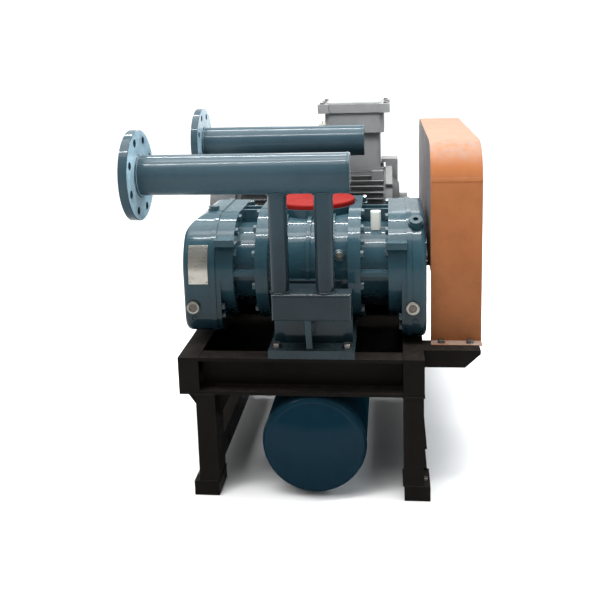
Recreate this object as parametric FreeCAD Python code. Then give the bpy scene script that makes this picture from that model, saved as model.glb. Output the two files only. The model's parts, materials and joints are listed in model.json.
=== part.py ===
import FreeCAD, Part
import math, os
from FreeCAD import Vector as V

os.makedirs("parts", exist_ok=True)

# ---------------------------------------------------------------------------
# Belt-driven rotary lobe blower package on a channel-steel frame.
# Layout frame used below, in mm: +Z up, floor at z = 0, the two rotor shafts
# run along X, Y = 0 is the middle of the blower casing, -Y is the front.
# Every solid is shifted at export so that the origin of the part is the
# centre of its footprint on the floor.
# ---------------------------------------------------------------------------
SHIFT_X, SHIFT_Y = 11.75, -147.5

# frame
FR_TOP, FR_H, FR_W = 346.0, 90.0, 48.0        # top of frame, channel height, flange width
FR_X0, FR_X1 = -329.0, 240.0                  # outer faces of the side channels
FR_Y0, FR_Y1 = -304.0, 692.0                  # outer faces of the front and rear channels
WEB, FLG = 6.0, 8.0                           # channel web and flange thickness
LEG_L, LEG_R, LEG_W, LEG_D = -291.0, 192.0, 46.0, 80.0
FOOT_H, FOOT_D, FOOT_W = 36.0, 88.0, 60.0
ANCHOR_R = 7.0                                # anchor holes in the feet
RAIL_Z0, RAIL_Z1 = 36.0, 96.0                 # bottom tie rails

# blower
ZS = 517.0                                    # height of both shafts
HC = 78.0                                     # half the centre distance = gear pitch radius
R_TIP = HC * 4.0 / 3.0                        # lobe tip radius of the three-lobe rotor (104)
BORE_R = 104.5                                # casing bore
BARREL_R = 120.0                              # casing outside
FL_R = 138.0                                  # casing and plate joint flanges
CV_R = 130.0                                  # bearing plate rim and end covers
CV_BOT_G, CV_BOT_D = 368.0, 357.0             # undersides of the oil sumps
X_CAS0, X_CAS1 = -140.0, 80.0                 # casing ends
XC = 0.5 * (X_CAS0 + X_CAS1)                  # middle of casing (-30)
T_FL = 15.0
XG_A, XG_B, XG_C = -155.0, -209.0, -252.0     # gear plate: flange face, neck end, rim face
XG_D = -333.0                                 # gear cover outer face
XD_A, XD_B, XD_C = 95.0, 160.0, 203.0         # drive plate: flange face, neck end, rim face
XD_D = 249.0                                  # drive cover outer face
SHAFT_R = 22.5
BRG_R = 50.0                                  # bearing outside radius
GEAR_Z, GEAR_M = 26, 6.0                      # timing gears: teeth, module
CAP_R, CAP_Z0, CAP_Z1 = 105.5, 653.5, 666.0   # red cover on the suction flange
SUC_R, SUC_BORE, SUC_Z0 = 110.0, 50.0, 628.0  # suction flange DN100 and its underside

# side gas manifolds
MAN_Y, MAN_Z, MAN_R, MAN_T = 321.0, 777.5, 44.5, 3.2
MAN_X0, MAN_X1F, MAN_X1R = -401.5, 81.0, 92.0
FLANGE_R, FLANGE_T, FLANGE_PCD, FLANGE_N, FLANGE_HOLE = 100.0, 20.0, 160.0, 8, 9.0
FLANGE_BORE = 40.0
BR_X = (-80.0, 21.0)
BR_R, BR_T = 21.2, 3.0
BOX_X0, BOX_X1, BOX_Z0, BOX_Z1 = -98.0, 79.0, 450.0, 512.0
BOX_Y0, BOX_Y1 = 299.0, 347.0                 # distance from the middle plane

# silencer
SI_X, SI_Z, SI_R, SI_T = -16.0, 133.0, 122.0, 3.0
SI_Y0, SI_Y1 = -304.0, 560.0
OUT_Y = 716.0                                 # outlet flange face
OUT_R, OUT_BORE, OUT_PCD = 110.0, 50.0, 180.0

# belt drive and guard
PUL_X0, PUL_X1 = 286.0, 352.0
BP_R, MP_R = 96.0, 64.0                       # pulley radii: blower, motor
N_BELT, BELT_PITCH = 4, 15.0
G_X0, G_X1, G_Y0, G_Y1, G_Z0, G_Z1, G_R = 259.0, 378.0, -178.0, 622.0, 346.0, 819.0, 95.0
G_T = 2.0
G_SEAM = 736.0                                # joint of the upright sheets and the rolled corners

# motor, frame size 160
MO_Y, MO_Z = 540.0, 530.0
MO_R, MO_FIN = 136.0, 155.0
MO_X0, MO_X1 = -296.0, 151.0                  # finned length
COWL_X0 = -395.0
FOOT_B, FOOT_A = 254.0, 254.0                 # foot hole spacing along and across the shaft
MF_X = (-137.0, 117.0)

DX = V(1, 0, 0); DY = V(0, 1, 0); DZ = V(0, 0, 1)


def box(x0, x1, y0, y1, z0, z1):
    return Part.makeBox(x1 - x0, y1 - y0, z1 - z0, V(x0, y0, z0))


def cx(x0, x1, y, z, r):
    return Part.makeCylinder(r, x1 - x0, V(x0, y, z), DX)


def cy(y0, y1, x, z, r):
    return Part.makeCylinder(r, y1 - y0, V(x, y0, z), DY)


def cz(z0, z1, x, y, r):
    return Part.makeCylinder(r, z1 - z0, V(x, y, z0), DZ)


def fuse(*s):
    s = [q for q in s if q is not None]
    r = s[0].fuse(list(s[1:])) if len(s) > 1 else s[0]
    r = r.removeSplitter()
    return r.Solids[0] if len(r.Solids) == 1 else r


def cut(a, *b):
    r = a.cut(list(b))
    return r.Solids[0] if len(r.Solids) == 1 else r


def prism_x(pts, x0, x1):
    """Closed outline of (y, z) points; a point may be ('a', (ymid, zmid), (yend, zend))."""
    edges, p = [], V(x0, pts[0][0], pts[0][1])
    first = p
    for q in pts[1:]:
        if q[0] == "a":
            m, e = V(x0, *q[1]), V(x0, *q[2])
            edges.append(Part.Arc(p, m, e).toShape())
        else:
            e = V(x0, *q)
            edges.append(Part.LineSegment(p, e).toShape())
        p = e
    if (p - first).Length > 1e-6:
        edges.append(Part.LineSegment(p, first).toShape())
    return Part.Face(Part.Wire(edges)).extrude(V(x1 - x0, 0, 0))


def stadium(x0, x1, r, hc=HC, zs=ZS):
    return prism_x([(-hc, zs + r), (hc, zs + r), ("a", (hc + r, zs), (hc, zs - r)),
                    (-hc, zs - r), ("a", (-hc - r, zs), (-hc, zs + r))], x0, x1)


def rim(x0, x1, r, zb, rb, hc=HC, zs=ZS):
    """Cover outline: round shoulders over the shafts, straight sides to a sump."""
    k = math.sqrt(0.5)
    w = hc + r
    return prism_x([(-w, zb + rb), (-w, zs), ("a", (-hc - r * k, zs + r * k), (-hc, zs + r)),
                    (hc, zs + r), ("a", (hc + r * k, zs + r * k), (w, zs)), (w, zb + rb),
                    ("a", (w - rb * (1 - k), zb + rb * (1 - k)), (w - rb, zb)), (-w + rb, zb),
                    ("a", (-w + rb * (1 - k), zb + rb * (1 - k)), (-w, zb + rb))], x0, x1)


def face_edges(s, x, tol=0.01):
    return [e for e in s.Edges if all(abs(v.X - x) < tol for v in e.Vertexes)
            and abs(e.CenterOfMass.x - x) < tol]


def hexagon(cx_, cy_, z0, af, h, turn=0.0):
    r = af / math.sqrt(3)
    pts = [V(cx_ + r * math.cos(math.radians(60 * i + turn)), cy_ + r * math.sin(math.radians(60 * i + turn)), z0)
           for i in range(7)]
    return Part.Face(Part.makePolygon(pts)).extrude(V(0, 0, h))


def bolt(p, d, r_shank, length, af, head, washer=0.0, turn=0.0):
    """Hex bolt: p is under the head (or washer), d the way the shank points away from the head."""
    s = hexagon(0, 0, 0, af, head, turn)
    # rounded corners on top of the head
    cone = Part.makeCone(af * 0.5 + head * 1.9, af * 0.5 * 0.98, head * 1.001, V(0, 0, 0), DZ)
    s = s.common(cone)
    if washer > 0:
        s = s.fuse(Part.makeCylinder(af * 0.62, washer, V(0, 0, -washer), DZ))
    s = s.fuse(Part.makeCylinder(r_shank, length + washer, V(0, 0, -length - washer), DZ)).removeSplitter()
    rot = FreeCAD.Rotation(V(0, 0, -1), V(*d))
    s.Placement = FreeCAD.Placement(V(0, 0, 0), rot).multiply(FreeCAD.Placement(V(0, 0, washer), FreeCAD.Rotation()))
    s = s.copy()
    s.translate(V(*p))
    return s.Solids[0]


def channel_x(x0, x1, y0, y1, z0, z1, web_at):
    """Channel along X; web_at is 'y0' or 'y1', flanges top and bottom."""
    w = box(x0, x1, y0, y0 + WEB, z0, z1) if web_at == "y0" else box(x0, x1, y1 - WEB, y1, z0, z1)
    s = fuse(w, box(x0, x1, y0, y1, z0, z0 + FLG), box(x0, x1, y0, y1, z1 - FLG, z1))
    # root fillets
    yw = y0 + WEB if web_at == "y0" else y1 - WEB
    e = [g for g in s.Edges if all(abs(v.Y - yw) < 1e-4 for v in g.Vertexes)
         and all(min(abs(v.Z - (z0 + FLG)), abs(v.Z - (z1 - FLG))) < 1e-4 for v in g.Vertexes)
         and abs(g.Length - (x1 - x0)) < 1e-4]
    return s.makeFillet(5.0, e)


def channel_y(y0, y1, x0, x1, z0, z1, web_at, web=WEB, flg=FLG):
    w = box(x0, x0 + web, y0, y1, z0, z1) if web_at == "x0" else box(x1 - web, x1, y0, y1, z0, z1)
    return fuse(w, box(x0, x1, y0, y1, z0, z0 + flg), box(x0, x1, y0, y1, z1 - flg, z1))


def channel_z(z0, z1, x0, x1, y0, y1, web_at, web=6.0, flg=7.0):
    w = box(x0, x0 + web, y0, y1, z0, z1) if web_at == "x0" else box(x1 - web, x1, y0, y1, z0, z1)
    return fuse(w, box(x0, x1, y0, y0 + flg, z0, z1), box(x0, x1, y1 - flg, y1, z0, z1))


parts = {}


def add(name, *shapes):
    sol = []
    for s in shapes:
        sol += s.Solids
    for s in sol:
        if not s.isValid() or s.Volume <= 0:
            raise RuntimeError("bad solid in " + name)
    c = sol[0].copy() if len(sol) == 1 else Part.makeCompound([q.copy() for q in sol])
    c.translate(V(SHIFT_X, SHIFT_Y, 0))
    parts[name] = c


# --------------------------------------------------------------------------- frame
Z0, Z1 = FR_TOP - FR_H, FR_TOP
XI0, XI1 = FR_X0 + FR_W, FR_X1 - FR_W
front = channel_x(XI0, XI1, FR_Y0, FR_Y0 + FR_W, Z0, Z1, "y1")
rear = channel_x(XI0, XI1, FR_Y1 - FR_W, FR_Y1, Z0, Z1, "y0")
mid1 = channel_x(XI0, XI1, 256.0, 304.0, Z0, Z1, "y0")
mid2 = channel_x(XI0, XI1, 380.0, 428.0, Z0, Z1, "y1")
# holes for the foot bolts of the blower pedestal
PED_BX, PED_BY = (-98.0, 65.0), 282.0
front = cut(front, *[cz(Z1 - FLG - 1, Z1 + 1, x, -PED_BY, 6.8) for x in PED_BX])
mid1 = cut(mid1, *[cz(Z1 - FLG - 1, Z1 + 1, x, PED_BY, 6.8) for x in PED_BX])
add("frame_cross_channels", front, rear, mid1, mid2)
# thin sheet under the blower, lying on the lower flanges, with an opening for the silencer neck
add("drip_tray", cut(box(FR_X0 + WEB, FR_X1 - WEB, FR_Y0 + FR_W, 256.0, Z0 + FLG, Z0 + FLG + 3.0),
                     cz(Z0, Z1, XC, 0, 58.0)))


def side(x0, x1, web_at):
    c = channel_y(FR_Y0, FR_Y1, x0, x1, Z0, Z1, web_at)
    return fuse(c, box(x0, x1, FR_Y0, FR_Y0 + 6, Z0, Z1), box(x0, x1, FR_Y1 - 6, FR_Y1, Z0, Z1))


add("frame_side_channels", side(FR_X0, XI0, "x0"), side(XI1, FR_X1, "x1"))
legs, feet, pads = [], [], []
for lx, web_at in ((LEG_L, "x1"), (LEG_R, "x0")):
    for ly in (FR_Y0, FR_Y1 - LEG_D):
        legs.append(channel_z(FOOT_H, Z0, lx, lx + LEG_W, ly, ly + LEG_D, web_at))
FOOT_LX, FOOT_RX = -305.0, 193.0
AN_X = (-274.0, 221.0)                        # anchor holes, in the open side of each leg
AN_Y = (FR_Y0 + 58.0, FR_Y1 - 58.0)
NUT_X = (LEG_L - 2.5, LEG_R + LEG_W + 2.5)    # foot bolts at the outer edge of each leg
foot_nut_y = (FR_Y0 + 33.0, FR_Y1 - 33.0)
for fx, ax, nx in ((FOOT_LX, AN_X[0], NUT_X[0]), (FOOT_RX, AN_X[1], NUT_X[1])):
    for k, fy in enumerate((FR_Y0, FR_Y1 - FOOT_D)):
        f = box(fx, fx + FOOT_W, fy, fy + FOOT_D, 0, FOOT_H)
        # hollow underneath, with a 12 mm top plate that the anchor goes through
        f = cut(f, box(fx + 8, fx + FOOT_W - 8, fy + 8, fy + FOOT_D - 8, -1, FOOT_H - 12))
        f = cut(f, cz(FOOT_H - 13, FOOT_H + 1, ax, AN_Y[k], ANCHOR_R))
        f = cut(f, cz(FOOT_H - 13, FOOT_H + 1, nx, foot_nut_y[k], 4.2))
        feet.append(f)
add("feet", *feet)
add("bottom_rails", channel_y(FR_Y0 + LEG_D, FR_Y1 - LEG_D, -301.0, -256.0, RAIL_Z0, RAIL_Z1, "x1", 5.0, 6.0),
    channel_y(FR_Y0 + LEG_D, FR_Y1 - LEG_D, 203.0, 248.0, RAIL_Z0, RAIL_Z1, "x0", 5.0, 6.0))
gus = []
for gy in (FR_Y0 + 18.0, FR_Y1 - 26.0):
    gus.append(Part.Face(Part.makePolygon([V(LEG_L, gy, Z0), V(LEG_L - 22, gy, Z0), V(LEG_L - 22, gy, Z0 - 6), V(LEG_L, gy, Z0 - 38),
                                           V(LEG_L, gy, Z0)])).extrude(V(0, 8, 0)))
for gy in (FR_Y0 + FR_W - 6.0, FR_Y1 - FR_W - 2.0):
    xg = LEG_L + LEG_W
    gus.append(Part.Face(Part.makePolygon([V(xg, gy, Z0), V(xg + 36, gy, Z0), V(xg + 36, gy, Z0 - 5), V(xg, gy, Z0 - 74),
                                           V(xg, gy, Z0)])).extrude(V(0, 8, 0)))
# the gussets are welded to the left legs and count as part of them
legs[0], legs[1] = fuse(legs[0], gus[0], gus[2]), fuse(legs[1], gus[1], gus[3])
add("frame_legs", *legs)


def g_bracket(ya, yb, flip):
    """Angle bracket reaching out from the side channel under the guard foot."""
    top = box(FR_X1, G_X1 - 7, ya, yb, Z1 - 6, Z1)
    yf = (yb - 6, yb) if flip else (ya, ya + 6)
    w = box(FR_X1, G_X1 - 7, yf[0], yf[1], Z1 - 42, Z1)
    c = Part.Face(Part.makePolygon([V(G_X1 - 44, yf[0] - 1, Z1 - 43), V(G_X1, yf[0] - 1, Z1 - 43),
                                    V(G_X1, yf[0] - 1, Z1 - 2), V(G_X1 - 44, yf[0] - 1, Z1 - 43)])).extrude(V(0, 8, 0))
    return cut(fuse(top, w), c)


GB_X = (283.0, 350.0)
gb1, gb2 = g_bracket(-239.0, G_Y0 + 6, False), g_bracket(G_Y1 - 6, G_Y1 + 61, True)
for x in GB_X:
    gb1 = cut(gb1, cz(Z1 - 7, Z1 + 1, x, G_Y0 - 15, 5.0))
    gb2 = cut(gb2, cz(Z1 - 7, Z1 + 1, x, G_Y1 + 15, 5.0))
add("guard_brackets", gb1, gb2)

# --------------------------------------------------------------------------- pedestal
PX0, PX1, PT = -116.0, 83.0, 20.0
ped = box(PX0, PX1, FR_Y0, -FR_Y0, Z1, Z1 + PT)
ped = fuse(ped, box(XC - 92, XC + 92, -92, 92, Z1 + PT, 382.0))
PB = [(x, y) for x in PED_BX for y in (-PED_BY, PED_BY)]
ribs = []
for sgn in (-1, 1):
    # middle rib under each port box, and two shorter side ribs under the casing
    r1 = prism_x([(sgn * 300.0, Z1 + PT), (sgn * 330.0, BOX_Z0), (sgn * 240.0, BOX_Z0), (sgn * 175.0, 400.0),
                  (sgn * 92.0, 382.0), (sgn * 88.0, Z1 + PT)], -27.0, -13.0)
    ribs.append(r1)
    for xx in (PX0 + 2, PX1 - 14):
        ribs.append(prism_x([(sgn * 262.0, Z1 + PT), (sgn * 150.0, 382.0), (sgn * 88.0, 382.0), (sgn * 88.0, Z1 + PT)], xx, xx + 12))
# plates that close the pedestal at the front and rear
for sgn in (-1, 1):
    ribs.append(box(-106.0, 77.0, *sorted((sgn * 244.0, sgn * 252.0)), Z1 + PT, 455.0))
ped = fuse(ped, *ribs)
ped = cut(ped, cz(Z1 - 1, 400, XC, 0, 50.0), *[cz(Z1 - 1, Z1 + PT + 1, x, y, 7.0) for x, y in PB])
# keep the ribs clear of the casing barrel
ped = cut(ped, stadium(X_CAS0 - 20, X_CAS1 + 20, FL_R + 0.5), box(XC - 300, XC + 300, -350, 350, 450.0, 600))
add("blower_pedestal", ped)

# --------------------------------------------------------------------------- casing
cas = fuse(stadium(X_CAS0, X_CAS0 + T_FL, FL_R), stadium(X_CAS1 - T_FL, X_CAS1, FL_R))
barrel = fuse(cx(X_CAS0, X_CAS1, -HC, ZS, BARREL_R), cx(X_CAS0, X_CAS1, HC, ZS, BARREL_R),
              box(X_CAS0, X_CAS1, -HC, HC, ZS - 108, ZS + 108))
for rx in (XC - 58, XC, XC + 58):
    barrel = fuse(barrel, cx(rx - 4.5, rx + 4.5, -HC, ZS, BARREL_R + 7), cx(rx - 4.5, rx + 4.5, HC, ZS, BARREL_R + 7))
cas = fuse(cas, barrel)
cas = fuse(cas, cz(ZS + 80, SUC_Z0, XC, 0, 74.0), box(XC - 90, XC + 90, -90, 90, 382.0, ZS - 90))
for sgn in (-1, 1):
    y0, y1 = sorted((sgn * 150.0, sgn * 212.0))
    cas = fuse(cas, box(XC - 66, XC + 66, y0, y1, 452.0, 506.0))
cas = cut(cas, cz(SUC_Z0, 700, XC, 0, SUC_R + 1.0))
cas = cut(cas, cx(X_CAS0 - 1, X_CAS1 + 1, -HC, ZS, BORE_R), cx(X_CAS0 - 1, X_CAS1 + 1, HC, ZS, BORE_R))
cas = cut(cas, cz(ZS, 640, XC, 0, SUC_BORE), cz(370, ZS, XC, 0, SUC_BORE))
cas = cut(cas, *[box(XC - 50, XC + 50, *sorted((s * 140.0, s * 213.0)), 466.0, 492.0) for s in (-1, 1)])


def ring_pts(r, angs):
    out = []
    for s in (-1, 1):
        for a in angs:
            t = math.radians(a)
            out.append((s * (HC + r * math.cos(t)), ZS + r * math.sin(t)))
    return out


CB_PTS = ring_pts(129.0, (-78, -46, -12, 22, 52, 82))
CB_R = 5.0
cas = cut(cas, *[cx(X_CAS0 - 1, X_CAS0 + T_FL + 1, y, z, CB_R) for y, z in CB_PTS],
          *[cx(X_CAS1 - T_FL - 1, X_CAS1 + 1, y, z, CB_R) for y, z in CB_PTS])
add("rotor_casing", cas)

suc = cz(SUC_Z0, CAP_Z0, XC, 0, SUC_R)
suc = cut(suc, cz(620, 660, XC, 0, SUC_BORE),
          *[cz(620, 660, XC + 90 * math.cos(math.radians(22.5 + 45 * i)), 90 * math.sin(math.radians(22.5 + 45 * i)), 8.0)
            for i in range(8)])
add("suction_flange", suc)
cap = cz(CAP_Z0, CAP_Z1, XC, 0, CAP_R)
cap = cap.makeFillet(5.0, [e for e in cap.Edges if abs(e.CenterOfMass.z - CAP_Z1) < 0.01 and e.Length > 100])
cap = cut(cap, cz(CAP_Z0 - 1, CAP_Z0 + 3, XC, 0, CAP_R - 12))
add("suction_cap", cap)

# --------------------------------------------------------------------------- bearing plates
CVB_PTS = ring_pts(119.0, (24, 52, 80))
X_LIP = 12.0                                   # thickness of the lip that the sump is bolted to


LIP_Z = {CV_BOT_G: (436.0, 414.0), CV_BOT_D: (412.0, 387.0)}


def lip_pts(zb):
    return [(s * y, z) for s in (-1, 1) for y, z in ((196.0, LIP_Z[zb][0]), (191.0, LIP_Z[zb][1]), (66.0, zb + 9.5))]


def bearing_plate(xa, xb, xc, sgn, seat0, seat1, casing_face, zb):
    """xa flange face, xb neck end, xc outer rim face; sgn +1 on the drive side."""
    def X(a, b):
        return (a, b) if a < b else (b, a)
    p = stadium(*X(casing_face, xa), FL_R)
    p = fuse(p, stadium(*X(xa, xb), 92.0))
    # round rim over the bearings, and a thinner lip with the full outline of the cover
    p = fuse(p, stadium(*X(xb, xc), CV_R), rim(*X(xc - sgn * X_LIP, xc), CV_R, zb, 45.0))
    # level lug on the front and rear of the rim
    for s in (-1, 1):
        p = fuse(p, box(*X(xb - sgn * 6, xc), *sorted((s * 165.0, s * 216.0)), LUG_Z[sgn], LUG_Z[sgn] + 16.0))
    # webs that tie the two rims together: level webs at shaft height, and upright ones
    webs = []
    for s in (-1, 1):
        webs.append(box(*X(xa, xb), *sorted((s * (HC + 60), s * (HC + 126))), ZS - 5, ZS + 5))
        webs.append(box(*X(xa, xb), *sorted((s * 20.0, s * 30.0)), ZS - 128, ZS - 80))
        webs.append(box(*X(xa, xb), *sorted((s * 20.0, s * 30.0)), ZS + 80, ZS + 124))
    p = fuse(p, *webs)
    cuts = [stadium(*X(xb + sgn * 12, xc + sgn * 1), CV_R - 22),
            rim(*X(xc - sgn * (X_LIP - 4), xc + sgn * 1), CV_R - 22, zb + 24, 24.0)]
    for s in (-1, 1):
        cuts.append(cx(*X(casing_face - sgn, xc), s * HC, ZS, SHAFT_R + 3.0))
        cuts.append(cx(*X(seat0, xc), s * HC, ZS, BRG_R))
    cuts += [cx(*X(casing_face - sgn, xa + sgn), y, z, CB_R) for y, z in CB_PTS]
    cuts += [cx(*X(xb - sgn, xc + sgn), y, z, CB_R) for y, z in CVB_PTS]
    cuts += [cx(*X(xc - sgn * (X_LIP + 1), xc + sgn), y, z, CB_R) for y, z in lip_pts(zb)]
    return cut(p, *cuts)


BRG_W = 36.0
SEAT_G, SEAT_D = -172.0, 112.0
LUG_Z = {-1: 588.0, 1: 580.0}
gplate = bearing_plate(XG_A, XG_B, XG_C, -1, SEAT_G, XG_C, X_CAS0, CV_BOT_G)
dplate = bearing_plate(XD_A, XD_B, XD_C, 1, SEAT_D, XD_C, X_CAS1, CV_BOT_D)
SG_Y, SG_Z = -208.0, 438.0                     # oil sight glasses
add("gear_end_plate", gplate)
add("drive_end_plate", dplate)


def end_cover(x0, x1, sgn, rad, zb, top_r, wall=9.0):
    """x0 joint face, x1 outer face, zb underside, top_r radius that rounds the top down to the outer face."""
    a, b = (x0, x1) if x0 < x1 else (x1, x0)
    c = rim(a, b, CV_R, zb, 45.0)
    c = c.makeFillet(rad, face_edges(c, x1))
    if top_r > rad:
        # outline in the X-Z plane with one big corner, drawn right through in Y
        zt, k = ZS + CV_R, math.sqrt(0.5)
        xr = x1 - sgn * top_r
        e = [Part.LineSegment(V(x0 - sgn, -300, 300), V(x0 - sgn, -300, zt)).toShape(),
             Part.LineSegment(V(x0 - sgn, -300, zt), V(xr, -300, zt)).toShape(),
             Part.Arc(V(xr, -300, zt), V(xr + sgn * top_r * k, -300, zt - top_r * (1 - k)), V(x1, -300, zt - top_r)).toShape(),
             Part.LineSegment(V(x1, -300, zt - top_r), V(x1, -300, 300)).toShape(),
             Part.LineSegment(V(x1, -300, 300), V(x0 - sgn, -300, 300)).toShape()]
        c = c.common(Part.Face(Part.Wire(e)).extrude(V(0, 600, 0)))
        c = c.Solids[0] if len(c.Solids) == 1 else c
    # raised joint band next to the bearing plate
    fa, fb = sorted((x0, x0 + sgn * 12.0))
    c = fuse(c, rim(fa, fb, CV_R + 3.0, zb - 3.0, 48.0))
    ia, ib = (x0 - sgn, x1 - sgn * wall) if x0 < x1 else (x1 - sgn * wall, x0 - sgn)
    ri = max(rad - wall, 4.0)
    n = rim(min(ia, ib), max(ia, ib), CV_R - wall - 12, zb + wall + 12, 34.0)
    n = n.makeFillet(max(ri, top_r - wall - 14.0), face_edges(n, x1 - sgn * wall))
    return cut(c, n)


SX_G, SX_D = -308.0, 216.0
FILL_X = -279.5                                # filler plug of the gear cover
SG_YF = HC + CV_R                              # side faces of the covers
gcov = end_cover(XG_C, XG_D, -1, 13.0, CV_BOT_G, 54.0)
gcov = fuse(gcov, cy(-SG_YF + 1.0, -170.0, SX_G, SG_Z, 19.0), cz(636.0, 650.0, FILL_X, -60.0, 15.0))
dcov = end_cover(XD_C, XD_D, 1, 13.0, CV_BOT_D, 13.0)
# boss for the oil filler plug, square to the front shoulder
FP_X, FP_A = 225.0, math.radians(57.0)
FP_D = V(0, -math.cos(FP_A), math.sin(FP_A))


def on_shoulder(r):
    return V(FP_X, -HC, ZS) + FP_D * r


def shoulder_cyl(r0, r1, rad):
    return Part.makeCylinder(rad, r1 - r0, on_shoulder(r0), FP_D)


dcov = fuse(dcov, shoulder_cyl(112.0, 141.0, 18.0))
dcov = fuse(dcov, cx(XD_D - 10, XD_D + 5, HC, ZS, 46.0))
gcov = cut(gcov, *[cx(XG_C - 20, XG_C + 1, y, z, CB_R - 0.6) for y, z in CVB_PTS],
           *[cx(XG_C - 20, XG_C + 1, y, z, CB_R - 0.6) for y, z in lip_pts(CV_BOT_G)],
           cy(-210, -150, SX_G, SG_Z, 12.0), cx(XG_D - 1, XG_D + 14, 120.0, 405.0, 9.0), cz(600, 660, FILL_X, -60.0, 10.0))
dcov = cut(dcov, *[cx(XD_C - 1, XD_C + 12, y, z, CB_R - 0.6) for y, z in CVB_PTS],
           cy(-210, -150, SX_D, SG_Z, 12.0), cx(XD_D - 14, XD_D + 1, 120.0, 405.0, 9.0),
           *[cx(XD_C - 1, XD_C + 12, y, z, CB_R - 0.6) for y, z in lip_pts(CV_BOT_D)],
           cx(XD_D - 20, XD_D + 10, HC, ZS, 35.0), shoulder_cyl(90.0, 142.0, 10.0),
           cy(-SG_YF - 8, -SG_YF, SX_D, SG_Z, 16.5))
add("gear_end_cover", gcov)
add("drive_end_cover", dcov)

# --------------------------------------------------------------------------- rotors
def lobe_points(off, n=14):
    """Cycloidal three-lobe outline about the origin, moved inwards by off; a lobe tip lies at angle 0."""
    R, r = HC, HC / 6.0
    def epi(t):
        return V(0, (R + r) * math.cos(t) - r * math.cos((R + r) / r * t), (R + r) * math.sin(t) - r * math.sin((R + r) / r * t))
    def hyp(t):
        return V(0, (R - r) * math.cos(t) + r * math.cos((R - r) / r * t), (R - r) * math.sin(t) - r * math.sin((R - r) / r * t))
    arcs = []
    for k in range(3):
        for f, a0 in ((epi, 0.0), (hyp, 60.0)):
            seg = []
            b = math.radians(120.0 * k + a0)
            for i in range(n + 1):
                # crowd the samples towards the ends, where the curve turns fastest
                u = 0.5 - 0.5 * math.cos(math.pi * i / n)
                t = math.radians(60.0) * u
                p = f(t)
                c, s = math.cos(b), math.sin(b)
                seg.append(V(0, p.y * c - p.z * s, p.y * s + p.z * c))
            arcs.append(seg)
    # rotate so that the first tip (at 30 degrees) lies at angle 0
    c, s = math.cos(math.radians(-30)), math.sin(math.radians(-30))
    out = []
    for seg in arcs:
        out.append([V(0, p.y * c - p.z * s, p.y * s + p.z * c) for p in seg])
    # offset inwards along the local normal
    res = []
    for j, seg in enumerate(out):
        prev, nxt = out[j - 1], out[(j + 1) % 6]
        q = []
        for i, p in enumerate(seg):
            a = seg[i - 1] if i > 0 else prev[-2]
            b = seg[i + 1] if i < len(seg) - 1 else nxt[1]
            t = b - a
            t.normalize()
            q.append(V(0, p.y - t.z * off, p.z + t.y * off))
        res.append(q)
    for j in range(6):
        m = (res[j][-1] + res[(j + 1) % 6][0]) * 0.5
        res[j][-1] = m
        res[(j + 1) % 6][0] = V(m)
    return res


def rotor(yc, phase, x0, x1):
    pts = [p for seg in lobe_points(0.25) for p in seg[:-1]]
    a = math.radians(phase)
    c, s = math.cos(a), math.sin(a)
    pts = [V(x0, yc + p.y * c - p.z * s, ZS + p.y * s + p.z * c) for p in pts]
    bs = Part.BSplineCurve()
    bs.interpolate(Points=pts, PeriodicFlag=True)
    return Part.Face(Part.Wire([bs.toShape()])).extrude(V(x1 - x0, 0, 0))


RX0, RX1 = X_CAS0 + 0.4, X_CAS1 - 0.4
drive_y, driven_y = HC, -HC
rot_a = rotor(drive_y, 0.0, RX0, RX1)           # a valley faces the other rotor
rot_b = rotor(driven_y, 0.0, RX0, RX1)          # a lobe tip faces the other rotor
shaft_a = fuse(cx(-300.0, PUL_X1 + 8, drive_y, ZS, SHAFT_R))
shaft_b = fuse(cx(-300.0, 176.0, driven_y, ZS, SHAFT_R))
add("drive_rotor", fuse(rot_a, shaft_a))
add("driven_rotor", fuse(rot_b, shaft_b))


def gear(yc, phase, x0, x1, bore):
    z, m, pa = GEAR_Z, GEAR_M, math.radians(20)
    rp = z * m / 2.0
    rb, ra, rf = rp * math.cos(pa), rp + m * 0.95, rp - m * 1.25
    inv = lambda a: math.tan(a) - a
    half = math.pi / (2 * z) - 0.35 / rp          # half tooth angle at pitch, less backlash
    pts = []
    step = 2 * math.pi / z
    radii = [max(rf, rb) + (ra - max(rf, rb)) * k / 4.0 for k in range(5)]
    def half_at(r):
        a = math.acos(min(1.0, rb / r))
        return half + inv(pa) - inv(a)
    for i in range(z):
        c0 = i * step + math.radians(phase)
        h_root = half_at(radii[0])
        pts.append((rf, c0 - h_root))
        for r in radii:
            pts.append((r, c0 - half_at(r)))
        for r in reversed(radii):
            pts.append((r, c0 + half_at(r)))
        pts.append((rf, c0 + h_root))
    P = [V(x0, yc + r * math.cos(a), ZS + r * math.sin(a)) for r, a in pts]
    Q = []
    for p in P:
        if not Q or (p - Q[-1]).Length > 1e-4:
            Q.append(p)
    Q.append(Q[0])
    g = Part.Face(Part.makePolygon(Q)).extrude(V(x1 - x0, 0, 0))
    g = cut(g, cx(x0 - 1, x1 + 1, yc, ZS, bore))
    # lightened web
    g = cut(g, cx(x1 - 8, x1 + 1, yc, ZS, 58.0).cut(cx(x1 - 9, x1 + 2, yc, ZS, 36.0)))
    return g


GX0, GX1 = -292.0, -258.0
add("drive_timing_gear", gear(drive_y, 180.0, GX0, GX1, SHAFT_R))
add("driven_timing_gear", gear(driven_y, 180.0 / GEAR_Z, GX0, GX1, SHAFT_R))

# bearings: fixed outer rings, and inner rings with rollers that turn with each shaft
orings = []
for y in (drive_y, driven_y):
    for x0 in (SEAT_G - BRG_W, SEAT_D):
        orings.append(cut(cx(x0, x0 + BRG_W, y, ZS, BRG_R), cx(x0 - 1, x0 + BRG_W + 1, y, ZS, 42.4)))
add("bearing_outer_rings", *orings)


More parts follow.
